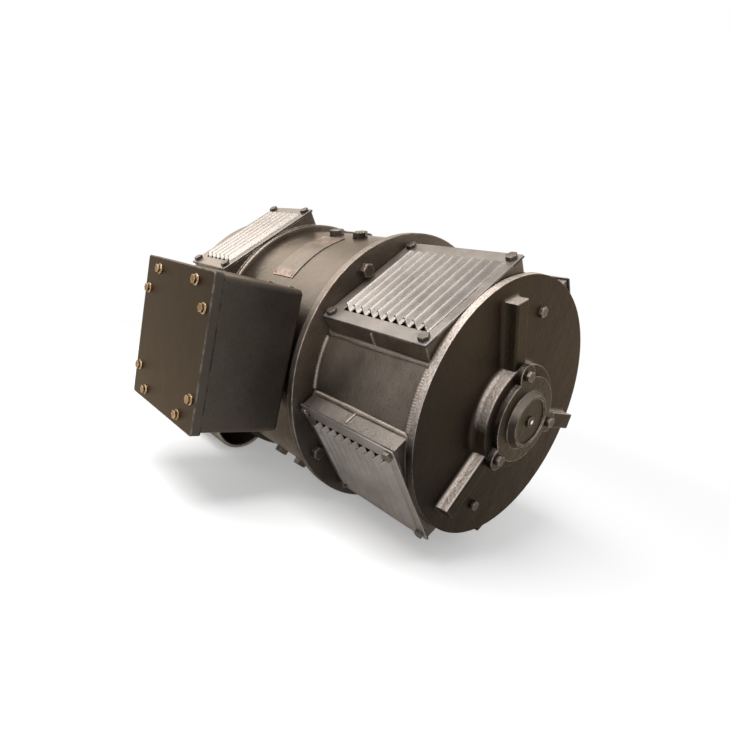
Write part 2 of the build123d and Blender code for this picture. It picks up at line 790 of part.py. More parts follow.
# Drive end bearing caps: the outer one lies flush in the drive face, the inner one closes the hub.
drive_bearing_x1 = drive_bearing_x0 + drive_bearing[2]
drive_inner_x0 = -drive_hub_l - inner_cap_t
with BuildPart() as drive_outer_cap:
    add(tube(-drive_cap_t, 0.0, drive_cap_r, drive_journal_r + shaft_clearance))
    add(tube(drive_bearing_x1, -drive_cap_t, drive_bearing[1], drive_bearing[1] - cap_wall))
    with Locations(*drive_cap_bolt_places):
        Cylinder(cap_bolt_r + hole_gap, 4 * drive_cap_t, mode=Mode.SUBTRACT)
write(drive_outer_cap, "drive_outer_cap")

with BuildPart() as drive_inner_cap:
    add(tube(drive_inner_x0, -drive_hub_l, drive_cap_r, comm_seat_r + shaft_clearance))
    add(tube(-drive_hub_l, drive_bearing_x0, drive_bearing[1], drive_bearing[1] - cap_wall))
    with Locations(*drive_cap_bolt_places):
        Cylinder(cap_bolt_r + thread_gap, 4 * drive_hub_l, mode=Mode.SUBTRACT)
write(drive_inner_cap, "drive_inner_cap")

comm_cap_bolt = hex_bolt(cap_bolt_af, cap_bolt_head, cap_bolt_r, inner_cap_x1 - cap_face_x)
drive_cap_bolt = hex_bolt(cap_bolt_af, cap_bolt_head, cap_bolt_r, -drive_inner_x0)
with BuildPart() as bearing_cap_bolts:
    with Locations(*cap_bolt_places):
        add(comm_cap_bolt)
    with Locations(*drive_cap_bolt_places):
        add(drive_cap_bolt)
write(bearing_cap_bolts, "bearing_cap_bolts")


def bearing(seat_r, outside_r, width, ball_r, balls, x0):
    """The outer race, inner race and caged balls of a ball bearing that starts at x0. The
    grooves clear the balls by curve_gap.
    """
    mid_r = (seat_r + outside_r) / 2
    mid_x = x0 + width / 2
    land = race_share * (outside_r - seat_r)
    with BuildPart() as groove:
        with BuildSketch(Plane.XZ):
            with Locations((mid_x, mid_r)):
                Circle(ball_r + curve_gap)
        revolve(axis=Axis.X)
    with BuildPart() as outer_race:
        add(tube(x0, x0 + width, outside_r, outside_r - land))
        add(groove.part, mode=Mode.SUBTRACT)
    with BuildPart() as inner_race:
        add(tube(x0, x0 + width, seat_r + land, seat_r + seat_gap))
        add(groove.part, mode=Mode.SUBTRACT)
    with BuildPart() as caged_balls:
        add(tube(mid_x - cage_share * ball_r, mid_x + cage_share * ball_r,
                 mid_r + cage_t / 2, mid_r - cage_t / 2))
        with Locations(*axial_seats(even_angles(balls), mid_x, mid_r, 1)):
            Sphere(ball_r)
    return outer_race.part, inner_race.part, caged_balls.part


# Bearings: outer races in the housings, inner races on the shaft, and balls in a cage between
# them at each end.
comm_outer, comm_inner, comm_caged = bearing(*comm_bearing, comm_bearing_x0)
drive_outer, drive_inner, drive_caged = bearing(*drive_bearing, drive_bearing_x0)
with BuildPart() as outer_races:
    add(comm_outer)
    add(drive_outer)
write(outer_races, "outer_races")

with BuildPart() as inner_races:
    add(comm_inner)
    add(drive_inner)
write(inner_races, "inner_races")

with BuildPart() as commutator_balls:
    add(comm_caged)
write(commutator_balls, "commutator_balls")

with BuildPart() as drive_balls:
    add(drive_caged)
write(drive_balls, "drive_balls")

# Shaft with its steps and the keyway in its extension.
drive_seat_r = drive_bearing[0]
with BuildPart() as shaft:
    add(turned(
        (shaft_end_x, 0), (extension_l, 0), (extension_l, extension_r),
        (shoulder_x, extension_r), (shoulder_x, drive_journal_r),
        (drive_bearing_x1, drive_journal_r), (drive_bearing_x1, drive_seat_r),
        (drive_bearing_x0, drive_seat_r), (drive_bearing_x0, comm_seat_r),
        (fan_disc_x0 + fan_disc_t, comm_seat_r), (fan_disc_x0 + fan_disc_t, fan_seat_r),
        (core_x1, fan_seat_r), (core_x1, core_seat_r), (core_x0, core_seat_r),
        (core_x0, fan_seat_r), (commutator_x0 + commutator_l, fan_seat_r),
        (commutator_x0 + commutator_l, comm_seat_r), (commutator_x0 - comm_shoulder, comm_seat_r),
        (commutator_x0 - comm_shoulder, comm_journal_r), (comm_bearing_x1, comm_journal_r),
        (comm_bearing_x1, comm_bearing[0]), (shaft_end_x, comm_bearing[0]),
    ))
    ends = shaft.edges().filter_by(GeomType.CIRCLE).group_by(Axis.X)
    chamfer(ends[0] + ends[-1], extension_chamfer)
    with BuildSketch(Plane.XY.offset(extension_r - key_depth)):
        with Locations((key_start + key_l / 2, 0)):
            SlotOverall(key_l, key_w)
    extrude(amount=2 * key_depth, mode=Mode.SUBTRACT)
write(shaft, "shaft")

# Armature core: a laminated stack with open slots, pressed on the shaft.
with BuildPart() as armature_core:
    with BuildSketch(Plane.YZ.offset(core_x0)):
        Circle(core_r)
        Circle(core_seat_r + seat_gap, mode=Mode.SUBTRACT)
        with PolarLocations(core_r - slot_depth / 2, slot_count):
            Rectangle(slot_depth + 2 * overcut, slot_w, mode=Mode.SUBTRACT)
        with PolarLocations((core_seat_r + core_r - slot_depth) / 2, core_vents):
            Circle(core_vent_r, mode=Mode.SUBTRACT)
    extrude(amount=core_l)
write(armature_core, "armature_core")

# Armature winding: coil sides in the slots, a rounded overhang at each end and the leads that
# run to the commutator risers.
commutator_x1 = commutator_x0 + commutator_l
lead_x = commutator_x1 + riser_t + seat_gap
coil_side_out_r = core_r - slot_wedge_t
coil_side_in_r = core_r - slot_depth + slot_liner_t
with BuildPart() as armature_winding:
    with BuildSketch(Plane.YZ.offset(core_x0 - coil_side_proud)):
        with PolarLocations((coil_side_out_r + coil_side_in_r) / 2, slot_count):
            Rectangle(coil_side_out_r - coil_side_in_r, slot_w - 2 * winding_gap)
    extrude(amount=core_l + 2 * coil_side_proud)
    for x, way in ((core_x0 - curve_gap, -1), (core_x1 + curve_gap, 1)):
        with BuildSketch(Plane.XZ) as overhang:
            with Locations((x + way * overhang_l / 2, (overhang_in_r + overhang_out_r) / 2)):
                RectangleRounded(overhang_l, overhang_out_r - overhang_in_r, overhang_round)
        revolve(axis=Axis.X)
    add(turned((lead_x, riser_r - lead_foot_in),
               (core_x0 - overhang_l / 2, overhang_in_r + lead_inset),
               (core_x0 - overhang_l / 2, overhang_out_r - lead_inset),
               (lead_x, riser_r - lead_foot_out)))
write(armature_winding, "armature_winding")

# Commutator: copper bars with undercut mica between them and risers at the core end, held by
# a steel hub with a clamping ring.
with BuildPart() as commutator_bars:
    add(turned((commutator_x0, commutator_in_r), (commutator_x1 + riser_t, commutator_in_r),
               (commutator_x1 + riser_t, riser_r), (commutator_x1, riser_r),
               (commutator_x1, commutator_r), (commutator_x0 + bar_chamfer, commutator_r),
               (commutator_x0, commutator_r - bar_chamfer)))
    with BuildSketch(Plane.YZ.offset(commutator_x0 - overcut)):
        with PolarLocations(commutator_r, bar_count):
            Rectangle(2 * mica_depth, mica_w)
    extrude(amount=commutator_l + overcut, mode=Mode.SUBTRACT)
write(commutator_bars, "commutator_bars")

with BuildPart() as commutator_hub:
    add(turned(
        (commutator_x0 - hub_rim_t, comm_seat_r + seat_gap),
        (commutator_x1, comm_seat_r + seat_gap), (commutator_x1, fan_seat_r + seat_gap),
        (commutator_x1 + riser_t + hub_rim_t, fan_seat_r + seat_gap),
        (commutator_x1 + riser_t + hub_rim_t, commutator_r - hub_riser_clamp),
        (commutator_x1 + riser_t, commutator_r - hub_riser_clamp / 2),
        (commutator_x1 + riser_t, commutator_in_r - seat_gap),
        (commutator_x0, commutator_in_r - seat_gap), (commutator_x0, commutator_r - hub_clamp),
        (commutator_x0 - hub_rim_t, commutator_r - hub_clamp - hub_clamp_slope),
    ))
write(commutator_hub, "commutator_hub")

# Fan: a disc with straight radial blades on a hub, drawing air through the machine.
with BuildPart() as fan:
    add(tube(fan_disc_x0, fan_disc_x0 + fan_disc_t, fan_r, fan_seat_r + seat_gap))
    add(turned((fan_disc_x0 - fan_hub_l, fan_seat_r + seat_gap), (fan_disc_x0, fan_seat_r + seat_gap),
               (fan_disc_x0, fan_hub_r + fan_hub_root), (fan_disc_x0 - fan_hub_l, fan_hub_r)))
    with Locations(*radial_seats(even_angles(fan_blades), fan_disc_x0 - fan_blade_w / 2,
                                 (fan_in_r + fan_r) / 2)):
        Box(fan_blade_w, fan_blade_t, fan_r - fan_in_r)
write(fan, "fan")

# Field poles, in the local axes of a radial seat: x along the shaft, z out from its centre.
main_face_r = core_r + air_gap
main_shoe_r = main_face_r + main_shoe_t
wedge_h = 2 * main_shoe_r * cos(radians(main_shoe_half_angle))
wedge_w = 2 * main_shoe_r * sin(radians(main_shoe_half_angle))
pole_hole_l = pole_bolt_l + hole_gap - (spot_face_r0 - yoke_in_r)
pole_hole_places = [Location((a * pole_bolt_spacing / 2, 0, yoke_in_r)) for a in (-1, 1)]
with BuildPart() as main_pole:
    with BuildSketch(Plane.YZ.offset(-main_pole_l / 2)):
        Circle(main_shoe_r)
        Polygon((0, 0), (wedge_w, wedge_h), (-wedge_w, wedge_h), align=None, mode=Mode.INTERSECT)
        with Locations((0, yoke_in_r / 2)):
            Rectangle(main_core_w, yoke_in_r)
        Circle(yoke_in_r - seat_gap, mode=Mode.INTERSECT)
        Circle(main_face_r, mode=Mode.SUBTRACT)
    extrude(amount=main_pole_l)
    with Locations(*pole_hole_places):
        Cylinder(pole_bolt_r + thread_gap, 2 * pole_hole_l, mode=Mode.SUBTRACT)

inter_face_r = core_r + inter_air_gap
with BuildPart() as inter_pole:
    with BuildSketch(Plane.YZ.offset(-inter_pole_l / 2)):
        with Locations((0, yoke_in_r / 2)):
            Rectangle(inter_core_w, yoke_in_r)
        Circle(yoke_in_r - seat_gap, mode=Mode.INTERSECT)
        Circle(inter_face_r, mode=Mode.SUBTRACT)
    extrude(amount=inter_pole_l)
    with Locations(*pole_hole_places):
        Cylinder(pole_bolt_r + thread_gap, 2 * pole_hole_l, mode=Mode.SUBTRACT)


def pole_coil(core_l, core_w, turn_t, bottom_r, top_r):
    """A wound coil with rounded corners that slips over a pole."""
    with BuildPart() as coil:
        with BuildSketch(Plane.XY.offset(bottom_r)):
            RectangleRounded(core_l + 2 * turn_t, core_w + 2 * turn_t, turn_t)
            Rectangle(core_l + 2 * coil_gap, core_w + 2 * coil_gap, mode=Mode.SUBTRACT)
        extrude(amount=top_r - bottom_r)
    return coil.part


main_coil_bottom_r = main_shoe_r + coil_gap
main_coil = pole_coil(main_pole_l, main_core_w, main_coil_t, main_coil_bottom_r, main_coil_top_r)
inter_coil = pole_coil(inter_pole_l, inter_core_w, inter_coil_t, inter_coil_bottom_r,
                       inter_coil_top_r)
for name, angles, piece in (
    ("main_poles", main_pole_angles, main_pole.part),
    ("inter_poles", inter_pole_angles, inter_pole.part),
    ("field_coils", main_pole_angles, main_coil),
    ("inter_pole_coils", inter_pole_angles, inter_coil),
):
    with BuildPart() as ring:
        with Locations(*radial_seats(angles, yoke_mid_x)):
            add(piece)
    write(ring, name)

pole_bolt = hex_bolt(pole_bolt_af, pole_bolt_head, pole_bolt_r, pole_bolt_l)
with BuildPart() as pole_bolts:
    with Locations(*pole_bolt_places):
        add(pole_bolt)
write(pole_bolts, "pole_bolts")

# Brush gear: a rocker ring clamped inside the end plate carries four insulated arms, and each
# arm holds two boxes with a sliding brush and a finger that presses on it.
rocker_x1 = comm_shell_x0 + rocker_t
with BuildPart() as brush_rocker:
    add(tube(comm_shell_x0, rocker_x1, rocker_out_r, rocker_in_r))
    with Locations(*rocker_bolt_places):
        Cylinder(cover_bolt_r + thread_gap, 8 * comm_plate_t, mode=Mode.SUBTRACT)
write(brush_rocker, "brush_rocker")

with BuildPart() as brush_arms:
    with Locations(*radial_seats(main_pole_angles, rocker_x1)):
        with Locations(Location((insulator_l, arm_offset, arm_height_r), (0, 90, 0))):
            Cylinder(arm_r, arm_l, align=(Align.CENTER, Align.CENTER, Align.MIN))
write(brush_arms, "brush_arms")

with BuildPart() as arm_insulators:
    with Locations(*radial_seats(main_pole_angles, rocker_x1)):
        with Locations(Location((0, arm_offset, arm_height_r), (0, 90, 0))):
            Cylinder(insulator_r, insulator_l, align=(Align.CENTER, Align.CENTER, Align.MIN))
write(arm_insulators, "arm_insulators")

box_bottom_r = commutator_r + box_lift
box_top_r = box_bottom_r + box_h
box_in_t = brush_t + 2 * brush_gap
box_in_w = brush_w + 2 * brush_gap
box_out_t = box_in_t + 2 * box_wall
box_out_w = box_in_w + 2 * box_wall
with BuildPart() as brush_holder:
    with BuildSketch(Plane.XY.offset(box_bottom_r)):
        Rectangle(box_out_w, box_out_t)
    extrude(amount=box_h)
    with BuildSketch(Plane.YZ.offset(-box_out_w / 2)):
        with Locations((arm_offset, arm_height_r)):
            Circle(arm_r + 2 * box_wall)
        with Locations(((arm_offset + box_out_t / 4) / 2, box_top_r - box_h / 4)):
            Rectangle(arm_offset - box_out_t / 4, box_h / 2)
        with Locations((arm_offset, arm_height_r)):
            Circle(arm_r + seat_gap, mode=Mode.SUBTRACT)
    extrude(amount=box_out_w)
    for way in (-1, 1):
        with BuildSketch(Plane.YZ.offset(way * box_out_w / 2)):
            with Locations((-pin_offset, pin_height_r)):
                Circle(finger_hub_r)
            with Locations((-(pin_offset + box_out_t / 4) / 2, pin_height_r - finger_hub_r / 2)):
                Rectangle(pin_offset - box_out_t / 4, finger_hub_r)
            with Locations((-pin_offset, pin_height_r)):
                Circle(pin_r + seat_gap, mode=Mode.SUBTRACT)
        extrude(amount=-way * 4 * box_wall)
    with BuildSketch(Plane.XY.offset(box_bottom_r - overcut)):
        Rectangle(box_in_w, box_in_t)
    extrude(amount=2 * box_h, mode=Mode.SUBTRACT)
with BuildPart() as finger_pin:
    with Locations(Location((-box_out_w / 2, -pin_offset, pin_height_r), (0, 90, 0))):
        Cylinder(pin_r, box_out_w, align=(Align.CENTER, Align.CENTER, Align.MIN))
with BuildPart() as brush_holders:
    for x in brush_x:
        with Locations(*radial_seats(main_pole_angles, x)):
            add(brush_holder.part)
            add(finger_pin.part)
write(brush_holders, "brush_holders")

brush_top_r = commutator_r + curve_gap + brush_l
with BuildPart() as brush:
    with BuildSketch(Plane.XY.offset(commutator_r - brush_t)):
        Rectangle(brush_w, brush_t)
    extrude(amount=brush_top_r - commutator_r + brush_t)
    with BuildSketch(Plane.YZ.offset(-brush_w)):
        Circle(commutator_r + curve_gap)
    extrude(amount=2 * brush_w, mode=Mode.SUBTRACT)

nose_z = brush_top_r + finger_gap + finger_nose_r
with BuildPart() as finger:
    with BuildSketch(Plane.YZ.offset(-finger_w / 2)):
        with Locations((-pin_offset, pin_height_r + finger_rise / 2)):
            Rectangle(finger_t, finger_rise)
        with Locations((-pin_offset / 2, pin_height_r + finger_rise)):
            Rectangle(pin_offset + finger_t, finger_t)
        with Locations((0, (nose_z + pin_height_r + finger_rise) / 2)):
            Rectangle(finger_t, pin_height_r + finger_rise - nose_z)
        with Locations((0, nose_z)):
            Circle(finger_nose_r)
        with Locations((-pin_offset, pin_height_r)):
            Circle(finger_hub_r)
            Circle(pin_r + curve_gap, mode=Mode.SUBTRACT)
    extrude(amount=finger_w)

for n, angle in enumerate(main_pole_angles, 1):
    seats = [radial_seats((angle,), x)[0] for x in brush_x]
    with BuildPart() as brushes:
        with Locations(*seats):
            add(brush.part)
    write(brushes, f"brushes_{n}")
    with BuildPart() as fingers:
        with Locations(*seats):
            add(finger.part)
    write(fingers, f"brush_fingers_{n}")

# Terminal box neck: a square tube welded to the yoke under the box.
with BuildPart() as terminal_neck:
    with BuildSketch(Plane.XZ.offset(-yoke_in_r)):
        with Locations((box_x, 0)):
            RectangleRounded(neck_size, neck_size, case_round)
            Rectangle(neck_size - 2 * neck_wall, neck_size - 2 * neck_wall, mode=Mode.SUBTRACT)
    extrude(amount=-(box_back_y - yoke_in_r))
    add(turned((yoke_x0, 0), (drive_shell_x0, 0), (drive_shell_x0, yoke_r + seat_gap),
               (yoke_x0, yoke_r + seat_gap)), mode=Mode.SUBTRACT)
write(terminal_neck, "terminal_neck")

# Terminal box: a case open away from the motor, with holes for the neck and the gland plate.
case_size = lid_size - 2 * (lid_wall + tray_gap)
case_front_y = lid_face_y - lid_t - lid_gasket_t
lid_bolt_points = [(a * lid_bolt_short, b * lid_bolt_long) for a in (-1, 1) for b in (-1, 1)]
lid_bolt_points += [(a * lid_bolt_long, b * lid_bolt_short) for a in (-1, 1) for b in (-1, 1)]
box_plane = Plane(origin=(box_x, box_back_y, 0), x_dir=(1, 0, 0), z_dir=(0, 1, 0))
case_depth = case_front_y - box_back_y
case_end_x = box_x + case_size / 2
with BuildPart() as terminal_box:
    with BuildSketch(box_plane):
        RectangleRounded(case_size, case_size, case_round)
    extrude(amount=case_depth)
    fillet(terminal_box.faces().sort_by(Axis.Y)[0].edges(), case_round / 2)
    with BuildSketch(box_plane.offset(case_wall)):
        RectangleRounded(case_size - 2 * case_wall, case_size - 2 * case_wall,
                         case_round - case_wall)
    extrude(amount=case_depth, mode=Mode.SUBTRACT)
    with BuildSketch(box_plane.offset(-overcut)):
        Rectangle(neck_opening, neck_opening)
    extrude(amount=case_wall + 2 * overcut, mode=Mode.SUBTRACT)
    with BuildSketch(Plane.YZ.offset(case_end_x + overcut)):
        with Locations((gland_y, 0)):
            Rectangle(gland_plate_w - 2 * gland_plate_lap, gland_plate_l - 2 * gland_plate_lap)
    extrude(amount=-case_wall - 2 * overcut, mode=Mode.SUBTRACT)
write(terminal_box, "terminal_box")

# Lid frame: a flat ring welded inside the mouth of the case, tapped for the lid bolts.
with BuildPart() as lid_frame:
    with BuildSketch(box_plane.offset(case_depth)):
        RectangleRounded(case_size - 2 * case_wall, case_size - 2 * case_wall, case_round)
        Rectangle(case_size - 2 * case_flange_w, case_size - 2 * case_flange_w,
                  mode=Mode.SUBTRACT)
        with Locations(*lid_bolt_points):
            Circle(lid_bolt_r + thread_gap, mode=Mode.SUBTRACT)
    extrude(amount=-case_flange_t)
write(lid_frame, "lid_frame")

with BuildPart() as terminal_gasket:
    with BuildSketch(box_plane.offset(case_depth)):
        RectangleRounded(case_size - 2 * lid_gasket_inset, case_size - 2 * lid_gasket_inset,
                         case_round - lid_gasket_inset)
        Rectangle(case_size - 2 * case_flange_w, case_size - 2 * case_flange_w,
                  mode=Mode.SUBTRACT)
        with Locations(*lid_bolt_points):
            Circle(lid_bolt_r + hole_gap, mode=Mode.SUBTRACT)
    extrude(amount=lid_gasket_t)
write(terminal_gasket, "terminal_gasket")

# Lid: a shallow tray with a lip that laps over the case.
with BuildPart() as terminal_lid:
    with BuildSketch(box_plane.offset(lid_face_y - box_back_y)):
        RectangleRounded(lid_size, lid_size, lid_round)
    extrude(amount=-lid_lip)
    fillet(terminal_lid.faces().sort_by(Axis.Y)[-1].edges(), lid_wall / 2)
    with BuildSketch(box_plane.offset(lid_face_y - box_back_y - lid_t)):
        Rectangle(lid_size - 2 * lid_wall, lid_size - 2 * lid_wall)
    extrude(amount=-lid_lip, mode=Mode.SUBTRACT)
    with BuildSketch(box_plane.offset(lid_face_y - box_back_y + overcut)):
        with Locations(*lid_bolt_points):
            Circle(lid_bolt_r + hole_gap)
    extrude(amount=-2 * lid_t, mode=Mode.SUBTRACT)
write(terminal_lid, "terminal_lid")

# Brass bolts with washers hold the lid.
lid_head_plane = box_plane.offset(lid_face_y - box_back_y + washer_t)
lid_bolt_places = [lid_head_plane.location * Location((px, py, 0)) for px, py in lid_bolt_points]
lid_bolt = hex_bolt(lid_bolt_af, lid_bolt_head, lid_bolt_r, lid_bolt_l)
with BuildPart() as lid_bolts:
    with Locations(*lid_bolt_places):
        add(lid_bolt)
        Cylinder(washer_r, washer_t, align=(Align.CENTER, Align.CENTER, Align.MAX))
write(lid_bolts, "lid_bolts")

# Terminal board inside the box: an insulating moulding on four feet, with four studs and
# their nuts.
pillar_points = [(a * (board_w / 2 - pillar_inset), b * (board_h / 2 - pillar_inset))
                 for a in (-1, 1) for b in (-1, 1)]
stud_points = [(a * stud_spacing / 2, b * stud_spacing / 2) for a in (-1, 1) for b in (-1, 1)]
with BuildPart() as terminal_board:
    with BuildSketch(box_plane.offset(case_wall + pillar_l)):
        RectangleRounded(board_w, board_h, pillar_r)
        with Locations(*stud_points):
            Circle(stud_r + seat_gap, mode=Mode.SUBTRACT)
    extrude(amount=board_t)
    with BuildSketch(box_plane.offset(case_wall)):
        with Locations(*pillar_points):
            Circle(pillar_r)
    extrude(amount=pillar_l)
write(terminal_board, "terminal_board")

with BuildPart() as terminal_studs:
    with BuildSketch(box_plane.offset(case_wall + pillar_l)):
        with Locations(*stud_points):
            Circle(stud_r)
    extrude(amount=stud_l)
    with BuildSketch(box_plane.offset(case_wall + pillar_l + board_t)):
        with Locations(*stud_points):
            RegularPolygon(nut_af / 2, 6, major_radius=False)
    extrude(amount=nut_t)
write(terminal_studs, "terminal_studs")

# Gland plate: a bolted cover on the side of the box that faces the drive end, with a screw in
# each corner and a hole for each cable gland.
gland_points = [(gland_y, -gland_spacing / 2), (gland_y, gland_spacing / 2)]
gland_x = case_end_x + gland_plate_t
screw_y = gland_plate_w / 2 - gland_plate_lap / 2
screw_z = gland_plate_l / 2 - gland_plate_lap / 2
screw_points = [(gland_y + a * screw_y, b * screw_z) for a in (-1, 1) for b in (-1, 1)]
with BuildPart() as gland_plate:
    with BuildSketch(Plane.YZ.offset(case_end_x)):
        with Locations((gland_y, 0)):
            RectangleRounded(gland_plate_w, gland_plate_l, gland_plate_lap / 2)
        with Locations(*gland_points):
            Circle(gland_thread_r + thread_gap, mode=Mode.SUBTRACT)
    extrude(amount=gland_plate_t)
    with BuildSketch(Plane.YZ.offset(gland_x)):
        with Locations(*screw_points):
            RegularPolygon(gland_screw_af / 2, 6, major_radius=False)
    extrude(amount=gland_screw_head)
write(gland_plate, "gland_plate")

# Cable glands: a threaded body with a flange and a lock nut behind the gland plate.
with BuildPart() as cable_glands:
    with BuildSketch(Plane.YZ.offset(gland_x)):
        with Locations(*gland_points):
            Circle(gland_flange_r)
    extrude(amount=gland_flange_t)
    with BuildSketch(Plane.YZ.offset(gland_x + gland_flange_t)):
        with Locations(*gland_points):
            RegularPolygon(gland_nut_af / 2, 6, major_radius=False)
    extrude(amount=gland_nut_t)
    with BuildSketch(Plane.YZ.offset(case_end_x - seat_gap)):
        with Locations(*gland_points):
            RegularPolygon(gland_nut_af / 2, 6, major_radius=False)
    extrude(amount=-gland_nut_t / 2)
    with BuildSketch(Plane.YZ.offset(case_end_x - gland_nut_t)):
        with Locations(*gland_points):
            Circle(gland_thread_r)
    extrude(amount=gland_l)
    with BuildSketch(Plane.YZ.offset(gland_x - 2 * gland_l)):
        with Locations(*gland_points):
            Circle(gland_bore_r)
    extrude(amount=4 * gland_l, mode=Mode.SUBTRACT)
write(cable_glands, "cable_glands")

# Data plate: a bare thin plate bent round the yoke, with a rivet in each corner.
plate_in_r = yoke_r + curve_gap
plate_plane = Plane(origin=(0, 0, 0), x_dir=(1, 0, 0),
                    z_dir=(0, -sin(radians(plate_from)), cos(radians(plate_from))))
rivet_turn = degrees(rivet_inset / plate_in_r)
rivet_places = []
for x in (plate_x0 + rivet_inset, plate_x0 + plate_l - rivet_inset):
    rivet_places += radial_seats((plate_from + rivet_turn, plate_to - rivet_turn), x,
                                 plate_in_r + plate_t)
with BuildPart() as data_plate:
    with BuildSketch(plate_plane):
        with Locations((plate_x0 + plate_l / 2, plate_in_r + plate_t / 2)):
            Rectangle(plate_l, plate_t)
    revolve(axis=Axis.X, revolution_arc=plate_to - plate_from)
    with Locations(*rivet_places):
        Cone(rivet_r, rivet_r / 2, rivet_h, align=(Align.CENTER, Align.CENTER, Align.MIN))
write(data_plate, "data_plate")
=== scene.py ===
from math import cos, pi, radians, sin, sqrt

import bmesh
import bpy
import numpy as np
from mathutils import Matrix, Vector


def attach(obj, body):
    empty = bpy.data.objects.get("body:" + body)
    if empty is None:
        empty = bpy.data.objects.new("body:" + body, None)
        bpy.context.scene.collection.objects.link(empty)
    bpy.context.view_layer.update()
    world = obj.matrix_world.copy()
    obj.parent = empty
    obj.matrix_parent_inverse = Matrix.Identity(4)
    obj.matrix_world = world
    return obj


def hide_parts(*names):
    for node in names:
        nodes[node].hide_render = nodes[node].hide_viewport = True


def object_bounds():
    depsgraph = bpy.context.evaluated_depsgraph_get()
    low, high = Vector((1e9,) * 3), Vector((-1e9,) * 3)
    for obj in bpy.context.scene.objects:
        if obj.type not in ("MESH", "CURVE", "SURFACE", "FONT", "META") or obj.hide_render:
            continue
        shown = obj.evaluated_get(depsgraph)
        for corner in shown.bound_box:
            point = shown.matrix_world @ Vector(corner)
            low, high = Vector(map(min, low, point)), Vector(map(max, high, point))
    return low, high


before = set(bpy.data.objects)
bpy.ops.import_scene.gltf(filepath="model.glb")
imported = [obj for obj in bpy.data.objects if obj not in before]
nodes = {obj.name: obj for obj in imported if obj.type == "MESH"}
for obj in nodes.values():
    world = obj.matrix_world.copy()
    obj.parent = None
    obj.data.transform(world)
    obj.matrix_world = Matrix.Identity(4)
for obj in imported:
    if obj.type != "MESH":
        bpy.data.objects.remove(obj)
cad_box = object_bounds()

# Yoke: a rolled steel ring with the poles inside it, bolted on from outside at spot faces. One
# dark, slightly metallic enamel was brushed over the whole frame once it was bolted together.
# It is thin on the edges, which shine through it, and its edges are also painted paler as
# painted highlights. Dust lies on it in soft clouds.


def add_node(tree, kind, inputs=None, **settings):
    """Adds one shader node; an input is given as a socket to link or as a plain value."""
    made = tree.nodes.new("ShaderNode" + kind)
    for name, value in settings.items():
        setattr(made, name, value)
    for place, value in (inputs or {}).items():
        if isinstance(value, bpy.types.NodeSocket):
            tree.links.new(value, made.inputs[place])
        else:
            made.inputs[place].default_value = value
    return made


def feed(tree, node, **sockets):
    """Links sockets to a node's inputs of the same names."""
    for label, socket in sockets.items():
        tree.links.new(socket, node.inputs[label.replace("_", " ")])


def shader_group(name, inputs, outputs):
    """A node group with named sockets; its input and output nodes come back with it."""
    tree = bpy.data.node_groups.new(name, "ShaderNodeTree")
    for label, kind in inputs:
        tree.interface.new_socket(name=label, in_out="INPUT", socket_type="NodeSocket" + kind)
    for label, kind in outputs:
        tree.interface.new_socket(name=label, in_out="OUTPUT", socket_type="NodeSocket" + kind)
    return tree, tree.nodes.new("NodeGroupInput"), tree.nodes.new("NodeGroupOutput")


def blend_colours(tree, factor, low, high):
    """The colour that runs from low to high with the factor."""
    return add_node(tree, "Mix", {0: factor, 6: low, 7: high}, data_type="RGBA").outputs[2]


def spread(tree, value, low, high, to_low=0.0, to_high=1.0):
    """Maps a value from low..high to another range, held at both ends."""
    places = {0: value, 1: low, 2: high, 3: to_low, 4: to_high}
    return add_node(tree, "MapRange", places).outputs[0]


def product(tree, one, other):
    """One value times another."""
    return add_node(tree, "Math", {0: one, 1: other}, operation="MULTIPLY").outputs[0]


def clouding(tree, spot, scale, detail, roughness=0.5):
    """Noise over the piece, about 0 to 1, with that many blotches to a metre."""
    return add_node(tree, "TexNoise", {"Vector": spot, "Scale": scale, "Detail": detail,
                                       "Roughness": roughness}).outputs[0]


def facing_share(tree, axis):
    """How squarely a face looks along an axis, either way: 0 to 1."""
    normal = add_node(tree, "SeparateXYZ", {0: add_node(tree, "TexCoord").outputs["Normal"]})
    return add_node(tree, "Math", {0: normal.outputs[axis]}, operation="ABSOLUTE").outputs[0]


cloud_span = (0.36, 0.66)
speck_scale = 260.0
speck_span = (0.3, 0.7)
speck_shades = (0.9, 1.1)
sag_scale = 24.0
film_tree, film_in, film_out = shader_group(
    "enamel_film",
    [("Coat", "Color"), ("Dust", "Color"), ("Cloud Scale", "Float"), ("Grain Scale", "Float")],
    [("Color", "Color"), ("Cloud", "Float"), ("Grain", "Float"), ("Sag", "Float")],
)
film_spot = add_node(film_tree, "TexCoord").outputs["Object"]
clouds = clouding(film_tree, film_spot, film_in.outputs["Cloud Scale"], detail=5.0,
                  roughness=0.62)
cloud = spread(film_tree, clouds, *cloud_span)
specks = clouding(film_tree, film_spot, speck_scale, detail=3.0)
speck = spread(film_tree, specks, *speck_span, *speck_shades)
dusty = blend_colours(film_tree, cloud, film_in.outputs["Coat"], film_in.outputs["Dust"])
toned = add_node(film_tree, "VectorMath", {0: dusty, 3: speck}, operation="SCALE").outputs[0]
grain = clouding(film_tree, film_spot, film_in.outputs["Grain Scale"], detail=4.0, roughness=0.6)
sags = clouding(film_tree, film_spot, sag_scale, detail=2.0)
feed(film_tree, film_out, Color=toned, Cloud=cloud, Grain=grain, Sag=sags)
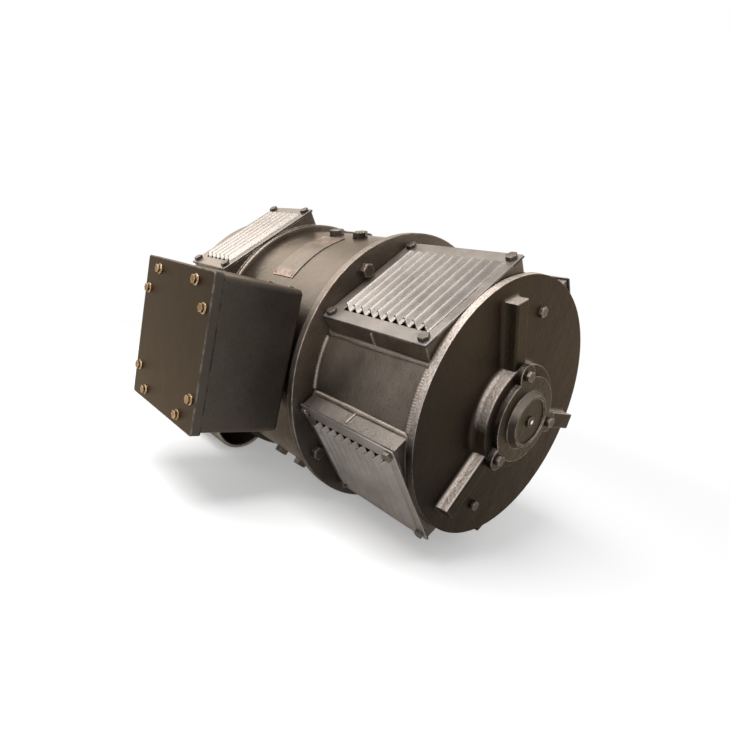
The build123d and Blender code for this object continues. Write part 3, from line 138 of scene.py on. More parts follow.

# How closely a face's own direction and its rounded edge's agree, from flat to fully worn.
# The edges are painted paler: partly worn paint, partly painted highlight.
edge_span = (0.995, 0.86)
chip_scale = 75.0
chip_span = (0.38, 0.58)
chip_least = 0.25
edge_tree, edge_in, edge_out = shader_group(
    "worn_and_lit_edges",
    [("Radius", "Float"), ("Wear And Light", "Float")],
    [("Mask", "Float"), ("Normal", "Vector")],
)
rounded = add_node(edge_tree, "Bevel", {"Radius": edge_in.outputs["Radius"]}, samples=6).outputs[0]
flat = add_node(edge_tree, "NewGeometry").outputs["Normal"]
turn = add_node(edge_tree, "VectorMath", {0: rounded, 1: flat}, operation="DOT_PRODUCT")
sharp = spread(edge_tree, turn.outputs["Value"], *edge_span)
edge_spot = add_node(edge_tree, "TexCoord").outputs["Object"]
chips = clouding(edge_tree, edge_spot, chip_scale, detail=5.0)
chipped = spread(edge_tree, chips, *chip_span, chip_least, 1.0)
# Edges are painted paler by this mask: partly worn paint, partly painted highlight.
worn_and_lit = product(edge_tree, product(edge_tree, sharp, chipped), edge_in.outputs["Wear And Light"])
feed(edge_tree, edge_out, Mask=worn_and_lit, Normal=rounded)


def plain_material(name, **constants):
    """A material whose constant values sit on the shader's own sockets."""
    made = bpy.data.materials.new(name)
    made.use_nodes = True
    shader = made.node_tree.nodes["Principled BSDF"]
    for label, value in constants.items():
        shader.inputs[label.replace("_", " ")].default_value = value
    return made, made.node_tree, shader


enamel_tint = (0.90, 0.765, 0.635, 1.0)
# Painted light and dust: a paler colour blended in where a face looks up or sideways.
pale_dust_and_light = (0.375, 0.325, 0.280, 1.0)
upward_share = 0.83
flank_share = 0.55
dust_and_light_span = (0.38, 1.0)
patch_least = 0.65
# Painted light: the mould's skin is blended to this paler colour where a face looks up or
# sideways.
lit_mould_skin = (0.74, 0.640, 0.57, 1.0)
skin_depth = 0.0015
skin_scale = 270.0
sideways_span = (0.75, 0.35)
lump_span = (0.36, 0.62)
lump_least = 0.35
skin_light_span = (0.28, 0.76)


def enamel(name, coat, dust, bare_and_lit, metal, gloss, matt, cloud_scale, grain_scale, grain_depth,
           wear_and_light=0.6, edge=0.0022, sag=0.0016, skin=0.0, dust_and_light_share=0.42):
    """Brushed metallic paint: dust clouds, thin bright edges, and the surface below as bump.
    The bright edges are partly worn paint and partly painted highlight. A paler colour is
    blended in where a face looks up or sideways: partly dust, partly painted light. With skin,
    faces that don't look along the shaft show the coarse skin of a mould, painted paler where
    they look up or sideways, as painted light."""
    made, tree, shader = plain_material(name, Metallic=metal, Specular_IOR_Level=0.35,
                                        Specular_Tint=enamel_tint)
    film = add_node(tree, "Group", node_tree=film_tree)
    for label, value in (("Coat", (*coat, 1.0)), ("Dust", (*dust, 1.0)),
                         ("Cloud Scale", cloud_scale), ("Grain Scale", grain_scale)):
        film.inputs[label].default_value = value
    edges = add_node(tree, "Group", node_tree=edge_tree)
    edges.inputs["Radius"].default_value = edge
    edges.inputs["Wear And Light"].default_value = wear_and_light
    where = add_node(tree, "TexCoord")
    facing = add_node(tree, "SeparateXYZ", {0: where.outputs["Normal"]})
    upward = product(tree, facing.outputs[2], upward_share)
    # How much a face looks up or sideways; such faces are painted paler, partly dust, partly
    # painted light.
    lit_facing = add_node(tree, "Math", {0: facing_share(tree, 1), 1: flank_share, 2: upward},
                      operation="MULTIPLY_ADD").outputs[0]
    dust_and_light_mask = spread(tree, lit_facing, *dust_and_light_span, 0.0, dust_and_light_share)
    patchy = spread(tree, film.outputs["Cloud"], 0.0, 1.0, patch_least, 1.0)
    dusted_and_lit = blend_colours(tree, product(tree, dust_and_light_mask, patchy), film.outputs["Color"], pale_dust_and_light)
    colour = blend_colours(tree, edges.outputs["Mask"], dusted_and_lit, (*bare_and_lit, 1.0))
    rough = spread(tree, film.outputs["Cloud"], 0.0, 1.0, gloss, matt)
    flow = add_node(tree, "Bump", {"Distance": sag, "Height": film.outputs["Sag"],
                                   "Normal": edges.outputs["Normal"]}).outputs[0]
    bump = add_node(tree, "Bump", {"Distance": grain_depth, "Height": film.outputs["Grain"],
                                   "Normal": flow}).outputs[0]
    if skin > 0.0:
        sideways = spread(tree, facing_share(tree, 0), *sideways_span)
        pits = clouding(tree, where.outputs["Object"], skin_scale, detail=5.0, roughness=0.7)
        lumps = spread(tree, pits, *lump_span, lump_least, 1.0)
        # Painted light: the skin is paler where a face looks up or sideways.
        skin_lit = product(tree, sideways, spread(tree, lit_facing, *skin_light_span))
        lit_skin = product(tree, product(tree, skin_lit, lumps), skin)
        colour = blend_colours(tree, lit_skin, colour, lit_mould_skin)
        bump = add_node(tree, "Bump", {"Distance": skin_depth, "Normal": bump,
                                       "Height": product(tree, sideways, pits)}).outputs[0]
    feed(tree, shader, Base_Color=colour, Roughness=rough, Normal=bump)
    return made


def finish_nodes(material, *names):
    """Gives CAD nodes their finished material."""
    for name in names:
        slots = nodes[name].data.materials
        slots.clear()
        slots.append(material)


# The colour of edges: partly the worn-through metal, partly painted highlight.
bare_and_lit_colour = (0.33, 0.285, 0.25)
rolled_enamel = enamel("rolled_enamel", (0.054, 0.044, 0.036), (0.090, 0.075, 0.062), bare_and_lit_colour,
                       metal=0.88, gloss=0.25, matt=0.38, cloud_scale=7.0, grain_scale=240.0,
                       grain_depth=0.0005)
finish_nodes(rolled_enamel, "yoke", "pole_bolts")

# Commutator end housing: a rolled shell with a flange and four window collars, all welded on.
# The beads were left as they came from the torch, rippled and a little uneven. The housing is
# painted darker towards its foot and lighter towards its head, as painted shade and light.
frame_coat = {"coat": (0.070, 0.055, 0.043), "dust": (0.132, 0.108, 0.088), "metal": 0.80,
              "gloss": 0.34, "matt": 0.48, "cloud_scale": 8.0, "grain_scale": 300.0,
              "grain_depth": 0.0009}
bead_coat = {"metal": 0.75, "gloss": 0.30, "matt": 0.44, "cloud_scale": 30.0,
             "grain_scale": 420.0, "grain_depth": 0.0010, "dust_and_light_share": 0.9}
shell_enamel = enamel("shell_enamel", bare_and_lit=(0.44, 0.38, 0.335), wear_and_light=0.85, edge=0.0040,
                      dust_and_light_share=0.62, **frame_coat)
# The beads are painted paler than the shell's enamel, as a painted sheen on them.
weld_lit_enamel = enamel("weld_lit_enamel", (0.160, 0.134, 0.113), (0.27, 0.232, 0.200),
                     (0.48, 0.42, 0.37), **bead_coat)


def colour_of(material):
    """A finished material's tree, its shader, and the socket that colours it."""
    tree = material.node_tree
    shader = tree.nodes["Principled BSDF"]
    return tree, shader, shader.inputs["Base Color"].links[0].from_socket


face_span = (0.75, 0.95)


def shade_by_height(material, foot_z, head_z, foot_shade, head_light, face_only=False):
    """Painted shade and light: the colour is multiplied by a factor that runs with height,
    darker towards the foot of the motor and lighter towards its head. With face_only, this
    holds only where a face looks along the shaft."""
    tree, shader, colour = colour_of(material)
    spot = add_node(tree, "TexCoord").outputs["Object"]
    height = add_node(tree, "SeparateXYZ", {0: spot}).outputs[2]
    height_shade = blend_colours(tree, spread(tree, height, foot_z, head_z), (*foot_shade, 1.0),
                         (*head_light, 1.0))
    height_shaded = add_node(tree, "VectorMath", {0: colour, 1: height_shade}, operation="MULTIPLY").outputs[0]
    if face_only:
        on_face = spread(tree, facing_share(tree, 0), *face_span)
        height_shaded = blend_colours(tree, on_face, colour, height_shaded)
    feed(tree, shader, Base_Color=height_shaded)


# Painted shade towards the housing's foot and painted light towards its head.
shade_by_height(shell_enamel, foot_z=-0.10, head_z=0.10, foot_shade=(0.72, 0.75, 0.78),
      head_light=(1.28, 1.25, 1.22))
finish_nodes(shell_enamel, "commutator_end_housing", "frame_bolts")
shell_r = 0.233
flange_face_x = -0.5035
plate_back_x = -0.746
collar_half = (0.1175, 0.1190)
collar_corner = 0.004
collar_corner_steps = 5
collar_seat_r = 0.2355
comm_angles = (48.0, 138.0, 228.0, 318.0)
comm_cover_x = -0.62475
gap_turn = 3.0
gap_half = 13.0
bead_r = 0.0048
seam_r = 0.0033
# A bead's centre line stands off the shell and the collar by these shares of its radius.
shell_stand_off = 0.2
collar_stand_off = 0.3
flange_bead_x = flange_face_x - 0.4 * bead_r
flange_bead_run_r = shell_r + 0.4 * bead_r
plate_bead_r = 1.2 * bead_r
plate_bead_x = plate_back_x + 0.5 * bead_r
plate_bead_run_r = shell_r + 0.6 * bead_r
bead_step = 0.0013
fewest_points = 8
bead_sides = 10
bead_taper = 1.2
bead_wanders = ((0.10, 0.031), (0.07, 0.0137), (0.05, 0.067))
ripple_pitch = 0.0046
ripple_share = 0.11
ripple_lag = 0.9
weld_sharp_deg = 60.0


def grid_faces(rows, columns, wrap_rows=False, wrap_columns=False):
    """Quads over a grid of points numbered row by row, joined round where it wraps."""
    r, c = np.meshgrid(np.arange(rows if wrap_rows else rows - 1),
                       np.arange(columns if wrap_columns else columns - 1), indexing="ij")
    r, c = r.ravel(), c.ravel()
    r2, c2 = (r + 1) % rows, (c + 1) % columns
    return np.stack([r * columns + c, r * columns + c2, r2 * columns + c2, r2 * columns + c],
                    axis=1)


def add_piece(name, points, faces, body, material, slot, sharp_deg=35.0):
    """A new mesh object with outward faces that rides on a body."""
    mesh = bpy.data.meshes.new(name)
    mesh.from_pydata(np.asarray(points).tolist(), [], faces)
    bm = bmesh.new()
    bm.from_mesh(mesh)
    bmesh.ops.recalc_face_normals(bm, faces=bm.faces)
    bm.to_mesh(mesh)
    bm.free()
    mesh.polygons.foreach_set("use_smooth", np.ones(len(mesh.polygons), bool))
    mesh.set_sharp_from_angle(angle=radians(sharp_deg))
    mesh.materials.append(material)
    piece = bpy.data.objects.new(name, mesh)
    bpy.context.scene.collection.objects.link(piece)
    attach(piece, body)
    return piece


def resample(points, step):
    """Points at even arc length round a closed line of points."""
    line = np.vstack([points, points[:1]])
    run = np.concatenate([[0.0], np.cumsum(np.linalg.norm(np.diff(line, axis=0), axis=1))])
    count = max(int(run[-1] / step), fewest_points)
    at = np.linspace(0.0, run[-1], count + 1)[:count]
    return np.stack([np.interp(at, run, line[:, k]) for k in range(3)], axis=1)


def weld_bead(path, up, radius, closed, seed):
    """A bead along a path: a circle whose radius swells with each ripple and wanders slowly.
    An open bead closes to a point at both ends."""
    count = len(path)
    if closed:
        ahead = np.roll(path, -1, axis=0) - np.roll(path, 1, axis=0)
    else:
        ahead = np.gradient(path, axis=0)
    ahead /= np.linalg.norm(ahead, axis=1)[:, None]
    side = np.cross(ahead, up)
    side /= np.linalg.norm(side, axis=1)[:, None]
    run = np.arange(count) * bead_step
    turns = np.linspace(0.0, 2 * pi, bead_sides, endpoint=False)
    phase = np.random.default_rng(seed).uniform(0.0, 2 * pi, len(bead_wanders))
    wander = sum(share * np.sin(run / length + start)
                 for (share, length), start in zip(bead_wanders, phase))
    lag = ripple_lag * np.abs(np.cos(turns))
    ripple = ripple_share * np.cos(2 * pi * run[:, None] / ripple_pitch + lag[None, :])
    size = radius * (1.0 + wander[:, None] + ripple)
    if not closed:
        from_end = np.minimum(np.arange(count), np.arange(count)[::-1])
        end = from_end * bead_step / (bead_taper * radius)
        size = size * np.sqrt(1.0 - (1.0 - np.clip(end, 0.0, 1.0)) ** 2)[:, None]
    ring = (np.cos(turns)[None, :, None] * side[:, None, :]
            + np.sin(turns)[None, :, None] * up[:, None, :])
    points = path[:, None, :] + size[:, :, None] * ring
    return points.reshape(-1, 3), grid_faces(count, bead_sides, closed, wrap_columns=True)


def join_shapes(shapes):
    """One list of points and one of faces from several (points, faces) pairs."""
    points, faces, first = [], [], 0
    for shape_points, shape_faces in shapes:
        points.append(shape_points)
        faces += [[first + int(v) for v in face] for face in shape_faces]
        first += len(shape_points)
    return np.vstack(points), faces


def to_seat(local, angle, x, r):
    """Local points (along the shaft, across, out) moved to a seat round the shaft: out by the
    seat's radius, then turned about the shaft by its angle."""
    c, s = cos(radians(angle)), sin(radians(angle))
    lx, ly, lz = local[..., 0], local[..., 1], local[..., 2]
    return np.stack([x + lx, (r + lz) * c + ly * s, (r + lz) * s - ly * c], axis=-1)


def outward(points):
    """Unit vectors from the shaft line through the points."""
    up = points * np.array([0.0, 1.0, 1.0])
    return up / np.linalg.norm(up, axis=1)[:, None]


def rounded_loop(half_x, half_y, corner, steps, centre_x=0.0):
    """Points round a rectangle with rounded corners: four quarter circles joined straight."""
    quarter = np.linspace(0.0, pi / 2, steps)
    loops = []
    for n, (sx, sy) in enumerate(((1, 1), (-1, 1), (-1, -1), (1, -1))):
        turns = quarter + n * pi / 2
        loops.append(np.stack([centre_x + sx * (half_x - corner) + corner * np.cos(turns),
                               sy * (half_y - corner) + corner * np.sin(turns)], axis=1))
    return np.vstack(loops)


def collar_bead(angle, x, seat_r, round_r, half, radius, seed):
    """A closed bead where a collar's four sides meet the round shell: a rounded rectangle,
    bent so that each point stands as far from the shaft as the shell does there."""
    off = collar_stand_off * radius
    loop = rounded_loop(half[0] + off, half[1] + off, collar_corner, collar_corner_steps)
    local = resample(np.column_stack([loop, np.zeros(len(loop))]), bead_step)
    run_r = round_r + shell_stand_off * radius
    local[:, 2] = np.sqrt(run_r ** 2 - local[:, 1] ** 2) - seat_r
    path = to_seat(local, angle, x, seat_r)
    return weld_bead(path, outward(path), radius, closed=True, seed=seed)


def ring_bead(x, r, start_deg, end_deg, radius, seed):
    """An open bead along an arc round the shaft."""
    count = max(int(radians(end_deg - start_deg) * r / bead_step), fewest_points)
    turns = np.radians(np.linspace(start_deg, end_deg, count))
    path = np.stack([np.full(count, x), r * np.cos(turns), r * np.sin(turns)], axis=1)
    return weld_bead(path, outward(path), radius, closed=False, seed=seed)


def seam_bead(angle, x, seat_r, round_r, half_y, side, radius, seed):
    """An open bead on the side of a collar, where the ends of its two bars meet: a straight
    line out from the round shell to a taper's length short of the seat."""
    foot = sqrt(round_r ** 2 - half_y ** 2) - seat_r
    top = -bead_taper * radius
    out = np.linspace(foot, top, max(int((-foot + top) / bead_step), fewest_points))
    local = np.stack([np.zeros(len(out)), np.full(len(out), side * half_y), out], axis=1)
    path = to_seat(local, angle, x, seat_r)
    up = to_seat(local + np.array([0.0, side, 0.0]), angle, x, seat_r) - path
    return weld_bead(path, up, radius, closed=False, seed=seed)


# The last value given to a bead is the seed of its own unevenness.
collar_shapes = [collar_bead(angle, comm_cover_x, collar_seat_r, shell_r, collar_half, bead_r, n)
                 for n, angle in enumerate(comm_angles)]
collar_shapes += [seam_bead(angle, comm_cover_x, collar_seat_r, shell_r, collar_half[1], side,
                            seam_r, 60 + 2 * n + (side > 0))
                  for n, angle in enumerate(comm_angles) for side in (-1, 1)]
add_piece("collar_welds", *join_shapes(collar_shapes), "frame", weld_lit_enamel, "frame_paint",
          weld_sharp_deg)
free_arcs = [(gap_turn + 90.0 * n - gap_half, gap_turn + 90.0 * n + gap_half) for n in range(4)]
shell_shapes = [ring_bead(flange_bead_x, flange_bead_run_r, a, b, bead_r, 10 + n)
                for n, (a, b) in enumerate(free_arcs)]
shell_shapes += [ring_bead(plate_bead_x, plate_bead_run_r, a, b, plate_bead_r, 20 + n)
                 for n, (a, b) in enumerate(free_arcs)]
add_piece("shell_welds", *join_shapes(shell_shapes), "frame", weld_lit_enamel, "frame_paint",
          weld_sharp_deg)

# Commutator end plate: an iron casting with a bearing boss and three stiffening bars. Its flat
# disc is smooth and painted darker towards its foot and lighter towards its head, as painted
# shade and light, while the sides of the boss and the bars keep the rough skin of the mould.
cast_coat = {"coat": (0.014, 0.012, 0.010), "dust": (0.038, 0.0285, 0.018), "bare_and_lit": bare_and_lit_colour,
             "metal": 0.86, "gloss": 0.40, "matt": 0.52, "cloud_scale": 2.6,
             "grain_scale": 170.0, "grain_depth": 0.0006, "skin": 0.95, "dust_and_light_share": 0.6}
cast_enamel = enamel("cast_enamel", **cast_coat)
root_enamel = enamel("root_enamel", wear_and_light=0.0, edge=0.0001, **cast_coat)
# Painted shade towards the plate's foot and painted light towards its head, on faces that look
# along the shaft.
for cast_material in (cast_enamel, root_enamel):
    shade_by_height(cast_material, foot_z=-0.16, head_z=0.14, foot_shade=(0.16, 0.26, 0.42),
          head_light=(1.40, 1.28, 1.26), face_only=True)
finish_nodes(cast_enamel, "commutator_end_plate", "commutator_inner_cap")
plate_face_x = -0.760
boss_r = 0.096
bar_angles = (63.0, 183.0, 303.0)
bar_half = 0.015
bar_start_r = 0.085
bar_end_r = 0.211
root_r = 0.010
root_sink = 0.0015
root_steps = 8
boss_steps = 96
bar_corner_steps = 7


def circle_points(turns):
    """Unit vectors at the turns, in the plane across the shaft."""
    return np.stack([np.cos(turns), np.sin(turns)], axis=1)


def cast_root(foot, away, closed):
    """The hollow corner where a wall rises from the plate. At each point of the wall's foot a
    quarter circle runs from the plate, one radius away, to the wall, one radius up. The rest of
    the section lies sunk in the plate and the wall."""
    turns = np.linspace(0.0, pi / 2, root_steps)
    out = np.append(root_r * (1.0 - np.sin(turns)), (-root_sink, -root_sink, root_r))
    high = np.append(root_r * (1.0 - np.cos(turns)), (root_r, -root_sink, -root_sink))
    across = foot[:, None, :] + away[:, None, :] * out[None, :, None]
    up = np.broadcast_to(plate_face_x - high[None, :], across.shape[:2])
    faces = grid_faces(len(foot), len(out), closed, wrap_columns=True).tolist()
    if not closed:
        faces.append(list(range(len(out))))
        faces.append(list(range((len(foot) - 1) * len(out), len(foot) * len(out))))
    return np.concatenate([up[:, :, None], across], axis=2).reshape(-1, 3), faces


# The walls that rise from the plate: the boss's round foot, and for each bar its two long
# sides and its outer end, whose corners turn on one point.
boss_away = circle_points(np.linspace(0.0, 2 * pi, boss_steps, endpoint=False))
root_shapes = [cast_root(boss_r * boss_away, boss_away, closed=True)]
corner_turns = np.linspace(-pi / 2, 0.0, bar_corner_steps)
bar_away = circle_points(np.concatenate([[-pi / 2], corner_turns, corner_turns + pi / 2,
                                         [pi / 2]]))
bar_foot = np.array([(bar_start_r, -bar_half)] + bar_corner_steps * [(bar_end_r, -bar_half)]
                    + bar_corner_steps * [(bar_end_r, bar_half)] + [(bar_start_r, bar_half)])
for angle in bar_angles:
    c, s = cos(radians(angle)), sin(radians(angle))
    spin = np.array([(c, s), (-s, c)])
    root_shapes.append(cast_root(bar_foot @ spin, bar_away @ spin, closed=False))
add_piece("plate_roots", *join_shapes(root_shapes), "frame", root_enamel, "frame_paint",
          weld_sharp_deg)

# Commutator end cap and its plug: a turned cap over the bearing, bolted on at three ears, and
# a plug that is painted over with it and has a bright drilled centre.
cap_enamel = enamel("cap_enamel", (0.016, 0.013, 0.011), (0.035, 0.028, 0.021),
                    (0.44, 0.38, 0.33), metal=0.86, gloss=0.24, matt=0.36, cloud_scale=9.0,
                    grain_scale=190.0, grain_depth=0.0009, wear_and_light=0.9, edge=0.0026, dust_and_light_share=0.5)
finish_nodes(cap_enamel, "commutator_end_cap")
finish_nodes(shell_enamel, "rocker_bolts", "bearing_cap_bolts")
drilled_r = 0.0034
drilled_rim_r = 0.0042
drilled_colour = (0.85, 0.81, 0.77, 1.0)
plug_finish = enamel("plug_finish", (0.026, 0.022, 0.018), (0.05, 0.04, 0.03),
                     (0.50, 0.45, 0.40), metal=0.86, gloss=0.26, matt=0.36, cloud_scale=40.0,
                     grain_scale=300.0, grain_depth=0.0004, wear_and_light=0.9, edge=0.0012)
plug_tree, plug_shader, plug_colour = colour_of(plug_finish)
plug_spot = add_node(plug_tree, "TexCoord").outputs["Object"]
plug_flat = add_node(plug_tree, "VectorMath", {0: plug_spot, 1: (0.0, 1.0, 1.0)},
                     operation="MULTIPLY").outputs[0]
plug_run = add_node(plug_tree, "VectorMath", {0: plug_flat}, operation="LENGTH")
drilled = spread(plug_tree, plug_run.outputs["Value"], drilled_rim_r, drilled_r)
feed(plug_tree, plug_shader,
     Base_Color=blend_colours(plug_tree, drilled, plug_colour, drilled_colour))
finish_nodes(plug_finish, "cap_plug")

# Louvred covers: pressed steel sheet with a silvery paint. Each louvre is a slope that ends in
# a rounded lip, open towards the drive end and at both of its bevelled sides.
cover_finish = enamel("cover_finish", (0.190, 0.172, 0.158), (0.270, 0.248, 0.230),
                      (0.50, 0.475, 0.45), metal=0.80, gloss=0.33, matt=0.46, cloud_scale=14.0,
                      grain_scale=420.0, grain_depth=0.0004, wear_and_light=0.85, edge=0.0016, sag=0.0008,
                      dust_and_light_share=0.5)
sheet_t = 0.0025
sheet_round = 0.0006
cover_corner = 0.003
corner_steps = 6
gasket_t = 0.002
louvre_pitch = 0.0195
louvre_shift = 0.006
louvre_rise = 0.009
louvre_bevel = 0.009
louvre_side = 0.027
louvre_end_gap = 0.0005
louvre_columns = 9
panel_t = 0.0016
slope_profile = np.array([
    (-0.0019, 0.0), (-0.0002, 0.0), (0.0012, 0.0002), (0.0027, 0.0009), (0.0045, 0.0021),
    (0.0070, 0.0041), (0.0095, 0.0061), (0.0112, 0.0074), (0.0126, 0.0083), (0.0139, 0.0088),
    (0.0151, 0.0090), (0.0160, 0.0088), (0.0166, 0.0083), (0.0169, 0.0076), (0.0170, 0.0068),
])
comm_cover_size = (0.240, 0.243)
comm_louvres = 10
drive_cover_size = (0.158, 0.267)
drive_louvres = 6
drive_angles = (50.0, 136.0)
drive_cover_x = -0.1125
drive_seat_r = 0.2865


def louvre_shapes(half_across, first_x, count):
    """Panels of thin sheet: a profile offset along its own normals to its underside, carried
    across the cover and narrowed with its height, so that both sides are bevelled."""
    run = np.gradient(slope_profile, axis=0)
    normal = np.stack([-run[:, 1], run[:, 0]], axis=1)
    normal /= np.linalg.norm(normal, axis=1)[:, None]
    ring = np.vstack([slope_profile, (slope_profile - panel_t * normal)[::-1]])
    across = np.linspace(-1.0, 1.0, louvre_columns)
    half = half_across - louvre_bevel * np.clip(ring[:, 1], 0.0, louvre_rise) / louvre_rise
    y = across[:, None] * half[None, :]
    last = (louvre_columns - 1) * len(ring)
    faces = grid_faces(louvre_columns, len(ring), wrap_columns=True).tolist()
    faces += [list(range(len(ring))), list(range(last, last + len(ring)))]
    shapes = []
    for n in range(count):
        x = np.broadcast_to(first_x + n * louvre_pitch + ring[None, :, 0], y.shape)
        z = np.broadcast_to(gasket_t + sheet_t + ring[None, :, 1], y.shape)
        shapes.append((np.stack([x, y, z], axis=-1).reshape(-1, 3), faces))
    return shapes


def cover_shapes(length, width, count):
    """The cover in its own axes: a flat border and the louvres in it. The border joins six
    rounded rectangles in a ring: its inner edge, its top, its rounded edge and its underside."""
    first_x = -count * louvre_pitch / 2 - louvre_shift
    last_x = first_x + count * louvre_pitch - louvre_end_gap
    half_across = width / 2 - louvre_side
    inner = rounded_loop((last_x - first_x) / 2, half_across, sheet_round, corner_steps,
                         (first_x + last_x) / 2)
    outer = rounded_loop(length / 2, width / 2, cover_corner, corner_steps)
    trimmed = rounded_loop(length / 2 - sheet_round, width / 2 - sheet_round,
                           cover_corner - sheet_round, corner_steps)
    base, top = gasket_t, gasket_t + sheet_t
    rings = [(inner, base), (inner, top), (trimmed, top), (outer, top - sheet_round),
             (outer, base + sheet_round), (trimmed, base)]
    points = np.vstack([np.column_stack([loop, np.full(len(loop), z)]) for loop, z in rings])
    border = (points, grid_faces(len(rings), len(inner), wrap_rows=True,
                                 wrap_columns=True).tolist())
    return [border] + louvre_shapes(half_across, first_x, count)


def mount_cover(name, shapes, angle, x, r):
    """A painted cover, moved from its own axes to its seat round the shaft."""
    points, faces = join_shapes(shapes)
    return add_piece(name, to_seat(points, angle, x, r), faces, "frame", cover_finish,
                     "cover_paint")


comm_cover = cover_shapes(*comm_cover_size, comm_louvres)
for n, angle in enumerate(comm_angles, 1):
    cover = mount_cover(f"louvred_cover_{n}", comm_cover, angle, comm_cover_x, collar_seat_r)
    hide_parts(f"commutator_cover_{n}")
drive_cover = cover_shapes(*drive_cover_size, drive_louvres)
for n, angle in enumerate(drive_angles, 1):
    cover = mount_cover(f"louvred_drive_cover_{n}", drive_cover, angle, drive_cover_x,
                        drive_seat_r)
    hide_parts(f"drive_cover_{n}")

# Cover gaskets and bolts: cork and rubber strips under the covers, and hexagon bolts whose
# corners are painted bright: partly polished by the spanner, partly painted highlight.
tone_span = (0.35, 0.65)


def soft_finish(name, low, high, rough, scale, depth):
    """A dull surface of two near colours with a fine bumpy skin, such as rubber or carbon."""
    made, tree, shader = plain_material(name, Roughness=rough)
    skin = clouding(tree, add_node(tree, "TexCoord").outputs["Object"], scale, detail=5.0)
    colour = blend_colours(tree, spread(tree, skin, *tone_span), (*low, 1.0), (*high, 1.0))
    bump = add_node(tree, "Bump", {"Distance": depth, "Height": skin}).outputs[0]
    feed(tree, shader, Base_Color=colour, Normal=bump)
    return made


gasket_finish = soft_finish("gasket_rubber", (0.018, 0.016, 0.015), (0.04, 0.037, 0.034),
                            rough=0.8, scale=300.0, depth=0.0003)
finish_nodes(gasket_finish, "cover_gaskets", "terminal_gasket")
bolt_finish = enamel("bolt_finish", (0.060, 0.051, 0.044), (0.10, 0.088, 0.078),
                     (0.45, 0.41, 0.38), metal=0.8, gloss=0.30, matt=0.46, cloud_scale=30.0,
                     grain_scale=500.0, grain_depth=0.0004, wear_and_light=0.85, edge=0.0012)
finish_nodes(bolt_finish, "cover_bolts")

# Drive end housing, its plate and the two air hoods: welded steel like the other end, painted
# with it. Beads run round the rim, the plate's joint, the collars and the hoods, and a thin
# round bar stiffens the mouth of each hood.
finish_nodes(shell_enamel, "drive_end_housing")
face_enamel = enamel("face_enamel", bare_and_lit=(0.28, 0.24, 0.21), wear_and_light=0.4, edge=0.0016,
                     dust_and_light_share=0.62, **frame_coat)
finish_nodes(face_enamel, "drive_end_plate", "drive_outer_cap", "drive_inner_cap")
hood_enamel = enamel("hood_enamel", bare_and_lit=(0.42, 0.37, 0.33), wear_and_light=1.0, edge=0.0045,
                     dust_and_light_share=0.85, **frame_coat)
finish_nodes(hood_enamel, "air_hoods")
drive_shell_r = 0.278
drive_half = (0.0765, 0.1310)
drive_collar_bead_r = 0.9 * bead_r
rim_front_x = -0.186
rim_bead_x = rim_front_x + 0.2 * bead_r
rim_arcs = ((165.0, 212.0), (248.0, 292.0), (328.0, 381.0))
plate_joint_x = -0.020
joint_bead_x = plate_joint_x - 0.3 * bead_r
plate_joint_arcs = ((165.0, 381.0), (79.0, 107.0))
hood_y = 0.17455
hood_z = -0.209
hood_r = 0.077
hood_front_x = -0.194
hood_back_x = -0.062
hood_mouth_x = -0.197
mouth_r = 0.0714
mouth_bar_r = 0.0044
mouth_half_turn = 87.0
drive_shapes = [collar_bead(angle, drive_cover_x, drive_seat_r, drive_shell_r, drive_half,
                            drive_collar_bead_r, 30 + n) for n, angle in enumerate(drive_angles)]
drive_shapes += [ring_bead(rim_bead_x, drive_shell_r, a, b, bead_r, 40 + n)
                 for n, (a, b) in enumerate(rim_arcs)]
drive_shapes += [ring_bead(joint_bead_x, drive_shell_r, a, b, bead_r, 50 + n)
                 for n, (a, b) in enumerate(plate_joint_arcs)]
# A hood's round side meets the round shell at this angle to either side of the hood's middle.
hood_run = sqrt(hood_y ** 2 + hood_z ** 2)
hood_open = np.arccos((drive_shell_r ** 2 + hood_run ** 2 - hood_r ** 2)
                      / (2 * drive_shell_r * hood_run))
hood_foot_r = drive_shell_r + shell_stand_off * bead_r
along = np.arange(hood_front_x, hood_back_x, bead_step)
mouth_steps = int(radians(2 * mouth_half_turn) * mouth_r / bead_step)
mouth_turns = np.radians(np.linspace(-mouth_half_turn, mouth_half_turn, mouth_steps))
mouth_shapes = []
for side in (-1, 1):
    hood_turn = np.arctan2(hood_z, side * hood_y)
    for lean in (-1, 1):
        foot_turn = np.full(len(along), hood_turn + lean * hood_open)
        path = np.column_stack([along, hood_foot_r * circle_points(foot_turn)])
        drive_shapes.append(weld_bead(path, outward(path), bead_r, closed=False,
                                      seed=70 + 2 * side + lean))
    out = np.column_stack([np.zeros(mouth_steps), circle_points(mouth_turns + hood_turn)])
    mouth = np.array([hood_mouth_x, side * hood_y, hood_z]) + mouth_r * out
    mouth_shapes.append(weld_bead(mouth, out, mouth_bar_r, closed=False, seed=90 + side))
add_piece("drive_welds", *join_shapes(drive_shapes), "frame", weld_lit_enamel, "frame_paint",
          weld_sharp_deg)
# The bars round the hoods' mouths are painted pale, as painted light on bars that sit in shade.
lit_rim_enamel = enamel("lit_rim_enamel", (0.34, 0.295, 0.26), (0.48, 0.42, 0.37), (0.55, 0.48, 0.43),
                    **bead_coat)
add_piece("hood_rims", *join_shapes(mouth_shapes), "frame", lit_rim_enamel, "frame_paint",
          weld_sharp_deg)

# Bearings: ground steel races, and balls in a steel cage between them. All of them are bright
# and lightly oiled.
stain_scale = 40.0
stain_span = (0.35, 0.68)
stain_shade = 0.72
cut_span = (0.3, 0.7)
cut_shares = (0.8, 1.25)


